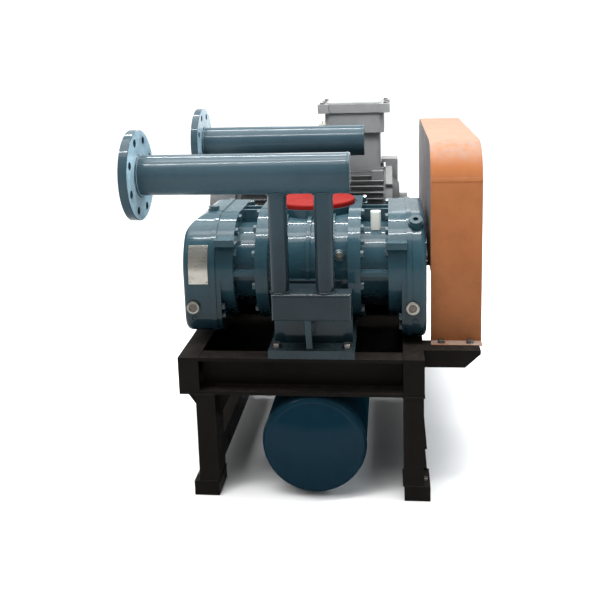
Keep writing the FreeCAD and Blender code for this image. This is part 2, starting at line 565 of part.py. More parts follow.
def bearing_inner(y):
    out = []
    for x0 in (SEAT_G - BRG_W, SEAT_D):
        out.append(cut(cx(x0, x0 + BRG_W, y, ZS, 31.0), cx(x0 - 1, x0 + BRG_W + 1, y, ZS, SHAFT_R)))
        for i in range(13):
            a = 2 * math.pi * i / 13
            out.append(cx(x0 + 5, x0 + BRG_W - 5, y + 36.55 * math.cos(a), ZS + 36.55 * math.sin(a), 5.4))
    return out


add("drive_rotor_bearings", *bearing_inner(drive_y))
add("driven_rotor_bearings", *bearing_inner(driven_y))
add("shaft_seal", cut(cx(XD_D - 9.0, XD_D + 4.0, drive_y, ZS, 35.0), cx(XD_D - 12, XD_D + 6, drive_y, ZS, SHAFT_R + 0.06)))

# --------------------------------------------------------------------------- port boxes, branch pipes, manifolds
def port_box(s):
    y0, y1 = sorted((s * BOX_Y0, s * BOX_Y1))
    b = box(BOX_X0, BOX_X1, y0, y1, BOX_Z0, BOX_Z1)
    e = [g for g in b.Edges if abs(g.CenterOfMass.y - s * BOX_Y1) < 0.01]
    b = b.makeFillet(7.0, e)
    n0, n1 = sorted((s * 212.0, s * (BOX_Y0 + 5)))
    nk = box(XC - 66, XC + 66, n0, n1, 456.0, 502.0)
    f0, f1 = sorted((s * 212.0, s * 224.0))
    b = fuse(b, nk, box(XC - 80, XC + 80, f0, f1, 450.0, 508.0))
    c0, c1 = sorted((s * 211.0, s * (BOX_Y1 - 6)))
    b = cut(b, box(XC - 50, XC + 50, c0, c1, 466.0, 492.0))
    h0, h1 = sorted((s * (BOX_Y0 + 6), s * (BOX_Y1 - 6)))
    b = cut(b, box(BOX_X0 + 6, BOX_X1 - 6, h0, h1, BOX_Z0 + 6, BOX_Z1 - 6),
            *[cz(BOX_Z1 - 8, BOX_Z1 + 1, x, s * MAN_Y, BR_R - BR_T) for x in BR_X])
    return b


add("front_port_box", port_box(-1))
add("rear_port_box", port_box(1))
brs = []
for s in (-1, 1):
    for x in BR_X:
        t = cut(cz(BOX_Z1, MAN_Z, x, s * MAN_Y, BR_R), cz(BOX_Z1 - 1, MAN_Z + 1, x, s * MAN_Y, BR_R - BR_T),
                cx(MAN_X0, MAN_X1R, s * MAN_Y, MAN_Z, MAN_R))
        brs.append(t)
add("branch_pipes", *brs)


def manifold(s, x1):
    y = s * MAN_Y
    x0 = MAN_X0 + FLANGE_T
    p = cut(cx(x0, x1 - 6, y, MAN_Z, MAN_R), cx(x0 - 1, x1, y, MAN_Z, MAN_R - MAN_T))
    p = cut(p, *[cz(MAN_Z - MAN_R - 2, MAN_Z, x, y, BR_R - BR_T) for x in BR_X])
    end = cx(x1 - 6, x1, y, MAN_Z, MAN_R)
    end = end.makeFillet(2.0, [e for e in end.Edges if abs(e.CenterOfMass.x - x1) < 0.01 and e.Length > 100])
    return [p, end]


add("front_manifold_pipe", *manifold(-1, MAN_X1F))
add("rear_manifold_pipe", *manifold(1, MAN_X1R))


def pipe_flange(face, back, y, z, r, bore, pcd, n, hole):
    """Flat flange on an axis along X, holes straddling the centre lines."""
    f = cx(min(face, back), max(face, back), y, z, r)
    f = f.makeChamfer(1.2, [e for e in f.Edges if e.Length > 100 and abs(e.Length - 2 * math.pi * r) < 1])
    a0 = math.pi / n
    return cut(f, cx(min(face, back) - 1, max(face, back) + 1, y, z, bore),
               *[cx(min(face, back) - 1, max(face, back) + 1, y + pcd / 2 * math.cos(a0 + 2 * math.pi * i / n),
                    z + pcd / 2 * math.sin(a0 + 2 * math.pi * i / n), hole) for i in range(n)])


add("front_manifold_flange", pipe_flange(MAN_X0, MAN_X0 + FLANGE_T, -MAN_Y, MAN_Z, FLANGE_R, FLANGE_BORE, FLANGE_PCD, FLANGE_N, FLANGE_HOLE))
add("rear_manifold_flange", pipe_flange(MAN_X0, MAN_X0 + FLANGE_T, MAN_Y, MAN_Z, FLANGE_R, FLANGE_BORE, FLANGE_PCD, FLANGE_N, FLANGE_HOLE))

# --------------------------------------------------------------------------- oil fittings and plate
rings, lenses = [], []
for sx in (SX_G, SX_D):
    r = cy(SG_Y - 8.0, SG_Y + 18.0, sx, SG_Z, 11.9)
    r = fuse(r, cy(SG_Y - 8.0, SG_Y, sx, SG_Z, 16.0))
    r = r.makeFillet(2.0, [e for e in r.Edges if abs(e.CenterOfMass.y - (SG_Y - 8.0)) < 0.01 and e.Length > 90])
    r = cut(r, cy(SG_Y - 9, SG_Y + 19, sx, SG_Z, 8.0), cy(SG_Y - 9, SG_Y - 3.0, sx, SG_Z, 10.0))
    rings.append(r)
    lenses.append(cy(SG_Y - 5.5, SG_Y - 3.0, sx, SG_Z, 10.0))
add("oil_sight_rings", *rings)
add("oil_sight_lenses", *lenses)
plugs = [bolt((XG_D, 120.0, 405.0), (1, 0, 0), 9.0, 9.0, 24.0, 9.0, 2.0),
         bolt((XD_D, 120.0, 405.0), (-1, 0, 0), 9.0, 9.0, 24.0, 7.0, 2.0)]
top = ZS + CV_R + 3.0
fill = fuse(cz(top - 12, top, FILL_X, -60.0, 10.0), hexagon(FILL_X, -60.0, top, 24.0, 8.0))
# filler plug with a hexagon socket
fill2 = fuse(shoulder_cyl(122.0, 141.0, 10.0), shoulder_cyl(141.0, 148.0, 15.5))
sock = hexagon(0, 0, 0, 12.0, 9.0)
sock.Placement = FreeCAD.Placement(on_shoulder(140.0), FreeCAD.Rotation(V(0, 0, 1), FP_D))
fill2 = cut(fill2, sock)
add("oil_plugs", *plugs, fill, fill2)
# plastic breather cup standing on the neck of the drive-end plate
bz = ZS + math.sqrt(92.0 ** 2 - 22.0 ** 2) + 0.0
br = fuse(cz(ZS + 80, 604.0, 130.0, -HC - 22.0, 9.0))
cup = box(117.5, 142.5, -HC - 34.5, -HC - 9.5, 604.0, 650.0)
cup = cup.makeFillet(6.0, [e for e in cup.Edges if abs(e.Vertexes[0].Z - e.Vertexes[1].Z) > 10])
cup = cup.makeFillet(2.0, [e for e in cup.Edges if abs(e.CenterOfMass.z - 650.0) < 0.01])
add("oil_breather", cut(fuse(br, cup), stadium(XD_A - 1, XD_B + 1, 92.0)))
# bare plate bent to the shoulder of the gear cover
np_r = CV_R + 1.2
a0, a1 = math.radians(180), math.radians(180 - 32)
def arc_pts(r, a):
    return (-HC + r * math.cos(a), ZS + r * math.sin(a))


np_ = prism_x([(-HC - CV_R, 495.0), arc_pts(CV_R, a0), ("a", arc_pts(CV_R, 0.5 * (a0 + a1)), arc_pts(CV_R, a1)), arc_pts(np_r, a1),
               ("a", arc_pts(np_r, 0.5 * (a0 + a1)), arc_pts(np_r, a0)), (-HC - np_r, 495.0)], -317.0, -270.0)
add("nameplate", np_)

# --------------------------------------------------------------------------- bolts of the blower
cb, cvb = [], []
for y, z in CB_PTS:
    cb.append(bolt((XG_A, y, z), (1, 0, 0), CB_R - 0.3, 26.0, 17.0, 7.5))
    cb.append(bolt((XD_A, y, z), (-1, 0, 0), CB_R - 0.3, 26.0, 17.0, 7.5))
for y, z in CVB_PTS:
    cvb.append(bolt((XG_B, y, z), (-1, 0, 0), CB_R - 0.7, 52.0, 16.0, 7.0))
    cvb.append(bolt((XD_B, y, z), (1, 0, 0), CB_R - 0.7, 50.0, 16.0, 7.0))
for y, z in lip_pts(CV_BOT_G):
    cvb.append(bolt((XG_C + X_LIP, y, z), (-1, 0, 0), CB_R - 0.7, 22.0, 16.0, 7.0))
for y, z in lip_pts(CV_BOT_D):
    cvb.append(bolt((XD_C - X_LIP, y, z), (1, 0, 0), CB_R - 0.7, 20.0, 16.0, 7.0))
add("blower_bolts", *cb, *cvb)
base_bolts = [bolt((x, y, Z1 + PT), (0, 0, -1), 6.0, 32.0, 19.0, 9.0, 2.5) for x, y in PB]
for x in GB_X:
    base_bolts.append(bolt((x, G_Y0 - 15, Z1 + G_T), (0, 0, -1), 4.6, 18.0, 14.0, 6.0, 2.0))
    base_bolts.append(bolt((x, G_Y1 + 15, Z1 + G_T), (0, 0, -1), 4.6, 18.0, 14.0, 6.0, 2.0))
for nx in NUT_X:
    for y in foot_nut_y:
        base_bolts.append(bolt((nx, y, FOOT_H), (0, 0, -1), 4.0, 12.0, 13.0, 7.0, 0.0, 30.0))

# --------------------------------------------------------------------------- silencer
def dished(y, s, r, depth, off=0.0):
    """Shallow dished head: a spherical cap with its rim at plane y, bulging towards s."""
    d = depth
    R = (r * r + d * d) / (2 * d)
    return Part.makeSphere(R, V(SI_X, y - s * (R - d), SI_Z)).common(cy(min(y, y + s * d * 1.01), max(y, y + s * d * 1.01), SI_X, SI_Z, r))


HD, KN = 24.0, 16.0                            # head depth and knuckle radius
shell = fuse(cy(SI_Y0, SI_Y1, SI_X, SI_Z, SI_R), dished(SI_Y0, -1, SI_R - KN - 1, HD), dished(SI_Y1, 1, SI_R - KN - 1, HD))
ed = [e for e in shell.Edges if abs(e.Length - 2 * math.pi * SI_R) < 1.0]
shell = shell.makeFillet(KN, ed)
shell = cut(shell, cy(SI_Y0 + 12, SI_Y1 - 12, SI_X, SI_Z, SI_R - SI_T))
NX = XC
shell = cut(shell, cz(SI_Z, SI_Z + SI_R + 5, NX, 0, 50.0), cy(SI_Y1 - 13, SI_Y1 + 40, SI_X, SI_Z, 50.0))
add("silencer_shell", shell)
neck = cut(fuse(cz(SI_Z + 60, 346.0, NX, 0, 54.0), cz(330.0, 346.0, NX, 0, 92.0)),
           cz(SI_Z, 347, NX, 0, 50.0), cy(SI_Y0, SI_Y1, SI_X, SI_Z, SI_R))
add("silencer_inlet_neck", neck)
op = cut(fuse(cy(SI_Y1 + 8, OUT_Y - 20, SI_X, SI_Z, 54.0), cy(OUT_Y - 20, OUT_Y, SI_X, SI_Z, OUT_R)),
         cy(SI_Y1, OUT_Y - 20, SI_X, SI_Z, OUT_BORE + 1), cy(OUT_Y - 21, OUT_Y + 1, SI_X, SI_Z, OUT_BORE),
         *[cy(OUT_Y - 21, OUT_Y + 1, SI_X + 90 * math.cos(math.radians(22.5 + 45 * i)),
              SI_Z + 90 * math.sin(math.radians(22.5 + 45 * i)), 9.0) for i in range(8)])
op = cut(op, cut(fuse(cy(SI_Y0, SI_Y1, SI_X, SI_Z, SI_R), dished(SI_Y1, 1, SI_R - KN - 1, HD)), cy(SI_Y0, SI_Y1 + 60, SI_X, SI_Z, 10.0)))
add("silencer_outlet", op)
sad = []
for y in (-262.0, 386.0):
    p = box(SI_X - 72, SI_X + 72, y, y + 8, SI_Z + 52, Z0)
    sad.append(cut(p, cy(y - 1, y + 9, SI_X, SI_Z, SI_R)))
add("silencer_saddles", *sad)
core = cut(cy(SI_Y0 + 70, SI_Y1 - 12, SI_X, SI_Z, 52.0), cy(SI_Y0 + 60, SI_Y1, SI_X, SI_Z, 50.0))
core = fuse(core, *[cut(cy(y, y + 4, SI_X, SI_Z, SI_R - SI_T), cy(y - 1, y + 5, SI_X, SI_Z, 50.0)) for y in (140.0, 400.0)])
core = cut(core, *[cz(SI_Z - 60, SI_Z + 60, SI_X, y, 6.0) for y in range(180, 390, 30)])
add("silencer_core", core)

# --------------------------------------------------------------------------- belt drive
def grooved(yc, zc, r, hub_r, bore):
    w = PUL_X1 - PUL_X0
    p = cx(PUL_X0, PUL_X1, yc, zc, r + 2.0)
    cuts = []
    for i in range(N_BELT):
        xm = PUL_X0 + w / 2 + (i - (N_BELT - 1) / 2) * BELT_PITCH
        d, wt, wb = 12.0, 7.2, 4.4
        prof = Part.Face(Part.makePolygon([V(xm - wt, yc, zc + r + 2.5), V(xm + wt, yc, zc + r + 2.5),
                                           V(xm + wb, yc, zc + r - d), V(xm - wb, yc, zc + r - d), V(xm - wt, yc, zc + r + 2.5)]))
        cuts.append(prof.revolve(V(0, yc, zc), DX, 360))
    cuts.append(cx(PUL_X0 - 1, PUL_X1 + 1, yc, zc, bore))
    # dished sides between rim and hub
    rr = r - 22.0
    if rr - hub_r > 20:
        for a, b in ((PUL_X0 - 1, PUL_X0 + 24), (PUL_X1 - 24, PUL_X1 + 1)):
            cuts.append(cut(cx(a, b, yc, zc, rr), cx(a - 1, b + 1, yc, zc, hub_r)))
        cuts += [cx(PUL_X0, PUL_X1, yc + (rr + hub_r) / 2 * math.cos(math.radians(60 * i)),
                    zc + (rr + hub_r) / 2 * math.sin(math.radians(60 * i)), (rr - hub_r) / 2 - 9) for i in range(6)] if rr > 100 else []
    return cut(p, *cuts)


MSH_R = 21.0
add("blower_pulley", grooved(drive_y, ZS, BP_R, 44.0, SHAFT_R))
add("motor_pulley", grooved(MO_Y, MO_Z, MP_R, 38.0, MSH_R))


def belt_loop(x0, x1, rA, rB, yA, zA, yB, zB):
    """Outline of a belt round two pulleys, as a solid plate."""
    d = math.hypot(yB - yA, zB - zA)
    th = math.atan2(zB - zA, yB - yA)
    al = math.acos((rA - rB) / d)
    def P(y, z, r, a):
        return (y + r * math.cos(a), z + r * math.sin(a))
    t1, t2 = th + al, th - al
    return prism_x([P(yA, zA, rA, t1), ("a", P(yA, zA, rA, th + math.pi), P(yA, zA, rA, t2)),
                    P(yB, zB, rB, t2), ("a", P(yB, zB, rB, th), P(yB, zB, rB, t1)), P(yA, zA, rA, t1)], x0, x1)


belts = []
for i in range(N_BELT):
    xm = (PUL_X0 + PUL_X1) / 2 + (i - (N_BELT - 1) / 2) * BELT_PITCH
    o = belt_loop(xm - 6.4, xm + 6.4, BP_R + 1.5, MP_R + 1.5, drive_y, ZS, MO_Y, MO_Z)
    n = belt_loop(xm - 7.4, xm + 7.4, BP_R - 8.0, MP_R - 8.0, drive_y, ZS, MO_Y, MO_Z)
    b = cut(o, n)
    # side bevels
    for sx in (-1, 1):
        def wedge(yc, zc, r):
            f = Part.Face(Part.makePolygon([V(xm + sx * 6.73, yc, zc + r + 3.2), V(xm + sx * 10.0, yc, zc + r + 3.2),
                                            V(xm + sx * 10.0, yc, zc + r - 10.5), V(xm + sx * 4.06, yc, zc + r - 10.5),
                                            V(xm + sx * 6.73, yc, zc + r + 3.2)]))
            return f.revolve(V(0, yc, zc), DX, 360)
        d = math.hypot(MO_Y - drive_y, MO_Z - ZS)
        th = math.atan2(MO_Z - ZS, MO_Y - drive_y)
        al = math.acos((BP_R - MP_R) / d)
        cutters = [wedge(drive_y, ZS, BP_R), wedge(MO_Y, MO_Z, MP_R)]
        for t in (th + al, th - al):
            u = V(0, math.cos(t), math.sin(t))
            pA = V(0, drive_y + BP_R * math.cos(t), ZS + BP_R * math.sin(t))
            pB = V(0, MO_Y + MP_R * math.cos(t), MO_Z + MP_R * math.sin(t))
            sh = V(xm, 0, 0)
            poly = [pA + sh + DX * (sx * 6.73) + u * 3.2, pA + sh + DX * (sx * 10) + u * 3.2,
                    pA + sh + DX * (sx * 10) - u * 10.5, pA + sh + DX * (sx * 4.06) - u * 10.5]
            poly.append(poly[0])
            cutters.append(Part.Face(Part.makePolygon(poly)).extrude(pB - pA))
        b = cut(b, *cutters)
    belts.append(b)
add("v_belts", *belts)


def guard_outline(y0, y1, z0, z1, r, x0, x1):
    k = math.sqrt(0.5)
    return prism_x([(y0, z0), (y0, z1 - r), ("a", (y0 + r * (1 - k), z1 - r * (1 - k)), (y0 + r, z1)),
                    (y1 - r, z1), ("a", (y1 - r * (1 - k), z1 - r * (1 - k)), (y1, z1 - r)), (y1, z0), (y0, z0)], x0, x1)


# the guard is welded up from an outer plate, a front and a rear sheet, two rolled corners and a top sheet
band = cut(guard_outline(G_Y0, G_Y1, G_Z0, G_Z1, G_R, G_X0, G_X1 - G_T),
           guard_outline(G_Y0 + G_T, G_Y1 - G_T, G_Z0 - 1, G_Z1 - G_T, G_R - G_T, G_X0 - 1, G_X1))
outer = guard_outline(G_Y0, G_Y1, G_Z0, G_Z1, G_R, G_X1 - G_T, G_X1)
foot_holes = [cz(G_Z0 - 1, G_Z0 + 4, x, y, 5.0) for x in GB_X for y in (G_Y0 - 15, G_Y1 + 15)]
front = band.common(box(G_X0, G_X1, G_Y0 - 1, G_Y0 + 60, G_Z0, G_SEAM))
rear = band.common(box(G_X0, G_X1, G_Y1 - 60, G_Y1 + 1, G_Z0, G_SEAM))
front = cut(fuse(front, box(G_X0, G_X1, G_Y0 - 29, G_Y0, G_Z0, G_Z0 + G_T)), *foot_holes)
rear = cut(fuse(rear, box(G_X0, G_X1, G_Y1, G_Y1 + 29, G_Z0, G_Z0 + G_T)), *foot_holes)
corner_f = band.common(box(G_X0, G_X1, G_Y0 - 1, G_Y0 + G_R, G_SEAM, G_Z1 + 1))
corner_r = band.common(box(G_X0, G_X1, G_Y1 - G_R, G_Y1 + 1, G_SEAM, G_Z1 + 1))
roof = band.common(box(G_X0, G_X1, G_Y0 + G_R, G_Y1 - G_R, G_SEAM, G_Z1 + 1))
add("belt_guard", outer, front, rear, corner_f, corner_r, roof)
ip = guard_outline(G_Y0 + G_T, G_Y1 - G_T, 515.0, G_Z1 - G_T, G_R - G_T, G_X0, G_X0 + G_T)
ip = cut(ip, cx(G_X0 - 1, G_X0 + 4, drive_y, ZS, 52.0), box(G_X0 - 1, G_X0 + 4, MO_Y - 62, MO_Y + 62, 500, MO_Z + 34))
add("guard_inner_plate", ip)

# --------------------------------------------------------------------------- motor
add("slide_rails", *[cut(box(x - 26, x + 26, 378.0, 690.0, Z1, Z1 + 24),
                         box(x - 8, x + 8, 392.0, 676.0, Z1 + 10, Z1 + 25), box(x - 16, x + 16, 392.0, 676.0, Z1 + 4, Z1 + 14))
                     for x in MF_X])
ZR = Z1 + 24
mot = cx(MO_X0, MO_X1, MO_Y, MO_Z, MO_R)
fins = []
for i in range(48):
    a = 360.0 / 48 * i
    f = box(MO_X0 + 6, MO_X1 - 6, MO_Y + MO_R - 6, MO_Y + MO_FIN, MO_Z - 1.7, MO_Z + 1.7)
    f.rotate(V(0, MO_Y, MO_Z), DX, a)
    fins.append(f)
mot = fuse(mot, *fins)
ft = []
for x in MF_X:
    ft.append(box(x - 32, x + 32, MO_Y - 152, MO_Y - 92, ZR, ZR + 18))
    ft.append(box(x - 32, x + 32, MO_Y + 92, MO_Y + 152, ZR, ZR + 18))
    for s in (-1, 1):
        for xw in (x - 32, x + 22):
            ft.append(prism_x([(MO_Y + s * 146, ZR + 18), (MO_Y + s * 118, ZR + 118), (MO_Y + s * 40, ZR + 60), (MO_Y + s * 92, ZR),
                               (MO_Y + s * 146, ZR)], xw, xw + 10))
mot = fuse(mot, *ft)
mot = fuse(mot, box(-14, 136, MO_Y - 78, MO_Y + 78, MO_Z + 90, 676.0))
# machined pad at the top front of the drive end
mot = fuse(mot, box(108.0, 144.0, MO_Y - 104, MO_Y - 60, 636.0, 668.0))
mot = cut(mot, box(-34, 149, MO_Y - 97, MO_Y + 97, 676.0, 700.0))
mot = cut(mot, cx(MO_X0 - 1, MO_X1 + 1, MO_Y, MO_Z, MO_R - 9))
mot = cut(mot, *[cz(ZR - 1, ZR + 20, x, MO_Y + s * FOOT_A / 2, 7.5) for x in MF_X for s in (-1, 1)])
add("motor_frame", mot)


def shield(x0, x1, x2, sgn):
    """Ring flange x0..x1 and a stepped boss out to x2."""
    a, b = sorted((x0, x1))
    s = fuse(cx(a, b, MO_Y, MO_Z, MO_FIN - 7))
    c, d = sorted((x1, x2))
    cone = Part.makeCone(118.0, 84.0, abs(x2 - x1), V(x1, MO_Y, MO_Z), V(sgn, 0, 0))
    s = fuse(s, cone)
    # four square ears carry the flange bolts
    for k in range(4):
        e = box(a, b, MO_Y + MO_FIN - 30, MO_Y + MO_FIN + 8, MO_Z - 20, MO_Z + 20)
        e.rotate(V(0, MO_Y, MO_Z), DX, 45 + 90 * k)
        s = fuse(s, e)
    return s


dsh = shield(MO_X1, 172.0, 194.0, 1)
dsh = fuse(dsh, cx(194, 219, MO_Y, MO_Z, 52.0), box(MO_X1, 189.0, MO_Y - 34, MO_Y + 34, MO_Z + 100, 690.0),
           box(138.0, 189.0, MO_Y - 34, MO_Y + 34, 686.0, 697.0))
dsh = cut(dsh, cx(MO_X1 - 1, 208, MO_Y, MO_Z, 45.0), cx(200, 220, MO_Y, MO_Z, MSH_R + 2.0), cx(MO_X1 - 1, 182, MO_Y, MO_Z, 72.0))
nsh = shield(MO_X0, MO_X0 - 16, MO_X0 - 34, -1)
nsh = cut(nsh, cx(MO_X0 - 60, MO_X0 + 1, MO_Y, MO_Z, MSH_R + 2.0), cx(MO_X0 - 26, MO_X0 + 1, MO_Y, MO_Z, 45.0), cx(MO_X0 - 12, MO_X0 + 1, MO_Y, MO_Z, 72.0))
add("drive_end_shield", dsh)
add("fan_end_shield", nsh)
cw = cx(COWL_X0, MO_X0 - 16, MO_Y, MO_Z, 160.0)
cw = cw.makeFillet(14.0, [e for e in cw.Edges if abs(e.CenterOfMass.x - COWL_X0) < 0.01 and e.Length > 100])
cwi = cx(COWL_X0 + 2.0, MO_X0 - 15, MO_Y, MO_Z, 158.0)
cwi = cwi.makeFillet(12.0, [e for e in cwi.Edges if abs(e.CenterOfMass.x - COWL_X0 - 2) < 0.01 and e.Length > 100])
cw = cut(cw, cwi)
holes = []
for k, rr in enumerate((34, 54, 74, 94, 114, 132)):
    nn = max(6, int(2 * math.pi * rr / 22))
    for i in range(nn):
        a = 2 * math.pi * (i + 0.5 * (k % 2)) / nn
        holes.append(cx(COWL_X0 - 1, COWL_X0 + 3, MO_Y + rr * math.cos(a), MO_Z + rr * math.sin(a), 7.0))
cw = cut(cw, *holes)
add("fan_cowl", cw)
fan = fuse(cx(-372, -338, MO_Y, MO_Z, 30.0), cx(-346, -342, MO_Y, MO_Z, 128.0))
bl = []
for i in range(9):
    b = box(-376, -346, MO_Y + 26, MO_Y + 126, MO_Z - 2, MO_Z + 2)
    b.rotate(V(0, MO_Y, MO_Z), DX, 40 * i)
    bl.append(b)
fan = cut(fuse(fan, *bl), cx(-380, -330, MO_Y, MO_Z, MSH_R - 3))
add("cooling_fan", fan)
msh = fuse(cx(-372, -324, MO_Y, MO_Z, MSH_R - 3), cx(-324, PUL_X1, MO_Y, MO_Z, MSH_R), cx(-228, 84, MO_Y, MO_Z, 78.0))
add("motor_rotor", msh)
st = cut(cx(-228, 84, MO_Y, MO_Z, MO_R - 9), cx(-229, 85, MO_Y, MO_Z, 78.6))
cr = [cut(cx(a, b, MO_Y, MO_Z, 118.0), cx(a - 1, b + 1, MO_Y, MO_Z, 84.0)) for a, b in ((-262, -228), (84, 118))]
add("motor_stator", fuse(st, *cr))
mb = []
for x0, x1 in ((184.0, 208.0), (MO_X0 - 26, MO_X0 - 6)):
    mb.append(cut(cx(x0, x1, MO_Y, MO_Z, 45.0), cx(x0 - 1, x1 + 1, MO_Y, MO_Z, MSH_R + 0.05)))
add("motor_bearings", *mb)

tb = fuse(box(-14, 136, MO_Y - 78, MO_Y + 78, 676.0, 786.0), box(-33, 148, MO_Y - 96, MO_Y + 96, 786.0, 848.0))
e = [g_ for g_ in tb.Edges if abs(g_.Vertexes[0].Z - g_.Vertexes[-1].Z) > 20]
tb = tb.makeFillet(16.0, e)
tb = cut(tb, box(-4, 126, MO_Y - 68, MO_Y + 68, 686.0, 800.0), box(-23, 138, MO_Y - 86, MO_Y + 86, 796.0, 849.0))
GL = [(MO_Y - 52, 800.0), (MO_Y + 52, 800.0)]
tb = cut(tb, *[cx(-40, -20, y, z, 12.0) for y, z in GL])
add("terminal_box", tb)
tc = box(-34, 147, MO_Y - 104, MO_Y + 104, 848.0, 874.0)
e = [g_ for g_ in tc.Edges if abs(g_.Vertexes[0].Z - g_.Vertexes[-1].Z) > 20]
tc = tc.makeFillet(16.0, e)
dome = box(-30, 143, MO_Y - 98, MO_Y + 98, 870.0, 881.0)
e = [g_ for g_ in dome.Edges if abs(g_.Vertexes[0].Z - g_.Vertexes[-1].Z) > 5]
dome = dome.makeFillet(24.0, e)
dome = dome.makeFillet(6.0, [g_ for g_ in dome.Edges if abs(g_.CenterOfMass.z - 881.0) < 0.01])
# corner ears for the cover bolts
ears = []
TCB = [(x, y) for x in (-40.0, 153.0) for y in (MO_Y - 92.0, MO_Y + 92.0)]
for x, y in TCB:
    xe = (-53.0, -20.0) if x < 0 else (133.0, 166.0)
    q = box(xe[0], xe[1], y - 20, y + 20, 848.0, 875.0)
    xo = -53.0 if x < 0 else 166.0
    q = q.makeFillet(8.0, [g_ for g_ in q.Edges if abs(g_.Vertexes[0].Z - g_.Vertexes[-1].Z) > 20 and abs(g_.CenterOfMass.x - xo) < 1])
    ears.append(q)
tc = fuse(tc, dome, *ears)
tc = cut(tc, box(-23, 138, MO_Y - 86, MO_Y + 86, 847.0, 876.0))
add("terminal_box_cover", tc)
gl = []
for y, z in GL:
    q = fuse(cx(-33, -24, y, z, 11.9), cx(-39, -33, y, z, 15.0), cx(-52, -39, y, z, 12.5))
    q = cut(q, cx(-53, -20, y, z, 7.0))
    gl.append(q)
add("cable_glands", *gl)
mbolts = [bolt((x, MO_Y + s * FOOT_A / 2, ZR + 18), (0, 0, -1), 6.0, 24.0, 19.0, 9.0, 2.5) for x in MF_X for s in (-1, 1)]
add("base_bolts", *base_bolts, *mbolts)
ts = []
for x in MF_X:
    # tension screw and its lug at the front end of each rail
    ts.append(fuse(box(x - 14, x + 14, 378.0, 387.0, ZR, ZR + 26),
                   cy(366.0, MO_Y - 152.0, x, ZR + 12, 5.0)))
add("tension_screws", *ts)

for n, s in parts.items():
    s.exportStep("parts/%s.step" % n)
bb = FreeCAD.BoundBox()
for s in parts.values():
    bb.add(s.BoundBox)
print("nodes", len(parts))
print("box X %.2f..%.2f Y %.2f..%.2f Z %.2f..%.2f" % (bb.XMin, bb.XMax, bb.YMin, bb.YMax, bb.ZMin, bb.ZMax))
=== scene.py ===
import bpy, bmesh, math, json
from mathutils import Vector, Matrix, noise


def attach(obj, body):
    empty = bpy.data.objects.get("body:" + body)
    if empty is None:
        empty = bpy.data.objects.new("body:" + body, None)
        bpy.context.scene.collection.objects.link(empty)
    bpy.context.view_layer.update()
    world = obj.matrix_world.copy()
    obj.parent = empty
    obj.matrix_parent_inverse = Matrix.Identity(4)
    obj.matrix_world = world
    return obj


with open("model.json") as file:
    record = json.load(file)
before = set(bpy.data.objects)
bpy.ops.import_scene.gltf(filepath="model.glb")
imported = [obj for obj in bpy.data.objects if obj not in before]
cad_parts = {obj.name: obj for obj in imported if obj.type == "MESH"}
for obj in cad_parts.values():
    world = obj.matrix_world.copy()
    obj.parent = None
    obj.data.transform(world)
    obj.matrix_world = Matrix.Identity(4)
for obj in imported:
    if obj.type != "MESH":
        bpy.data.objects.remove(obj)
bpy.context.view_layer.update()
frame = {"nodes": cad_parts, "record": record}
NODES = frame["nodes"]
SX, SY = 11.75, -147.5


def R(x, y, z):
    """Layout millimetres to row metres."""
    return Vector(((x + SX) / 1000.0, (y + SY) / 1000.0, z / 1000.0))


# ------------------------------------------------------------------ camera
def make_camera():
    yaw, pitch, roll = math.radians(-6.2870), math.radians(10.7299), math.radians(-1.6690)
    fw = Vector((math.sin(yaw) * math.cos(pitch), math.cos(yaw) * math.cos(pitch), -math.sin(pitch)))
    right = Vector((math.cos(yaw), -math.sin(yaw), 0))
    up = right.cross(fw)
    r2 = right * math.cos(roll) + up * math.sin(roll)
    u2 = -right * math.sin(roll) + up * math.cos(roll)
    cam = bpy.data.cameras.new("camera")
    ob = bpy.data.objects.new("camera", cam)
    bpy.context.scene.collection.objects.link(ob)
    m = Matrix((r2, u2, -fw)).transposed().to_4x4()
    m.translation = R(168.087, -2054.575, 1035.837)
    ob.matrix_world = m
    cam.sensor_width = 36.0
    cam.sensor_fit = "HORIZONTAL"
    cam.lens = 814.593 / 600.0 * 36.0
    cam.shift_x = -(303.173 - 300.0) / 600.0
    cam.shift_y = (206.0 - 300.0) / 600.0
    cam.clip_start, cam.clip_end = 0.05, 200.0
    bpy.context.scene.camera = ob


make_camera()


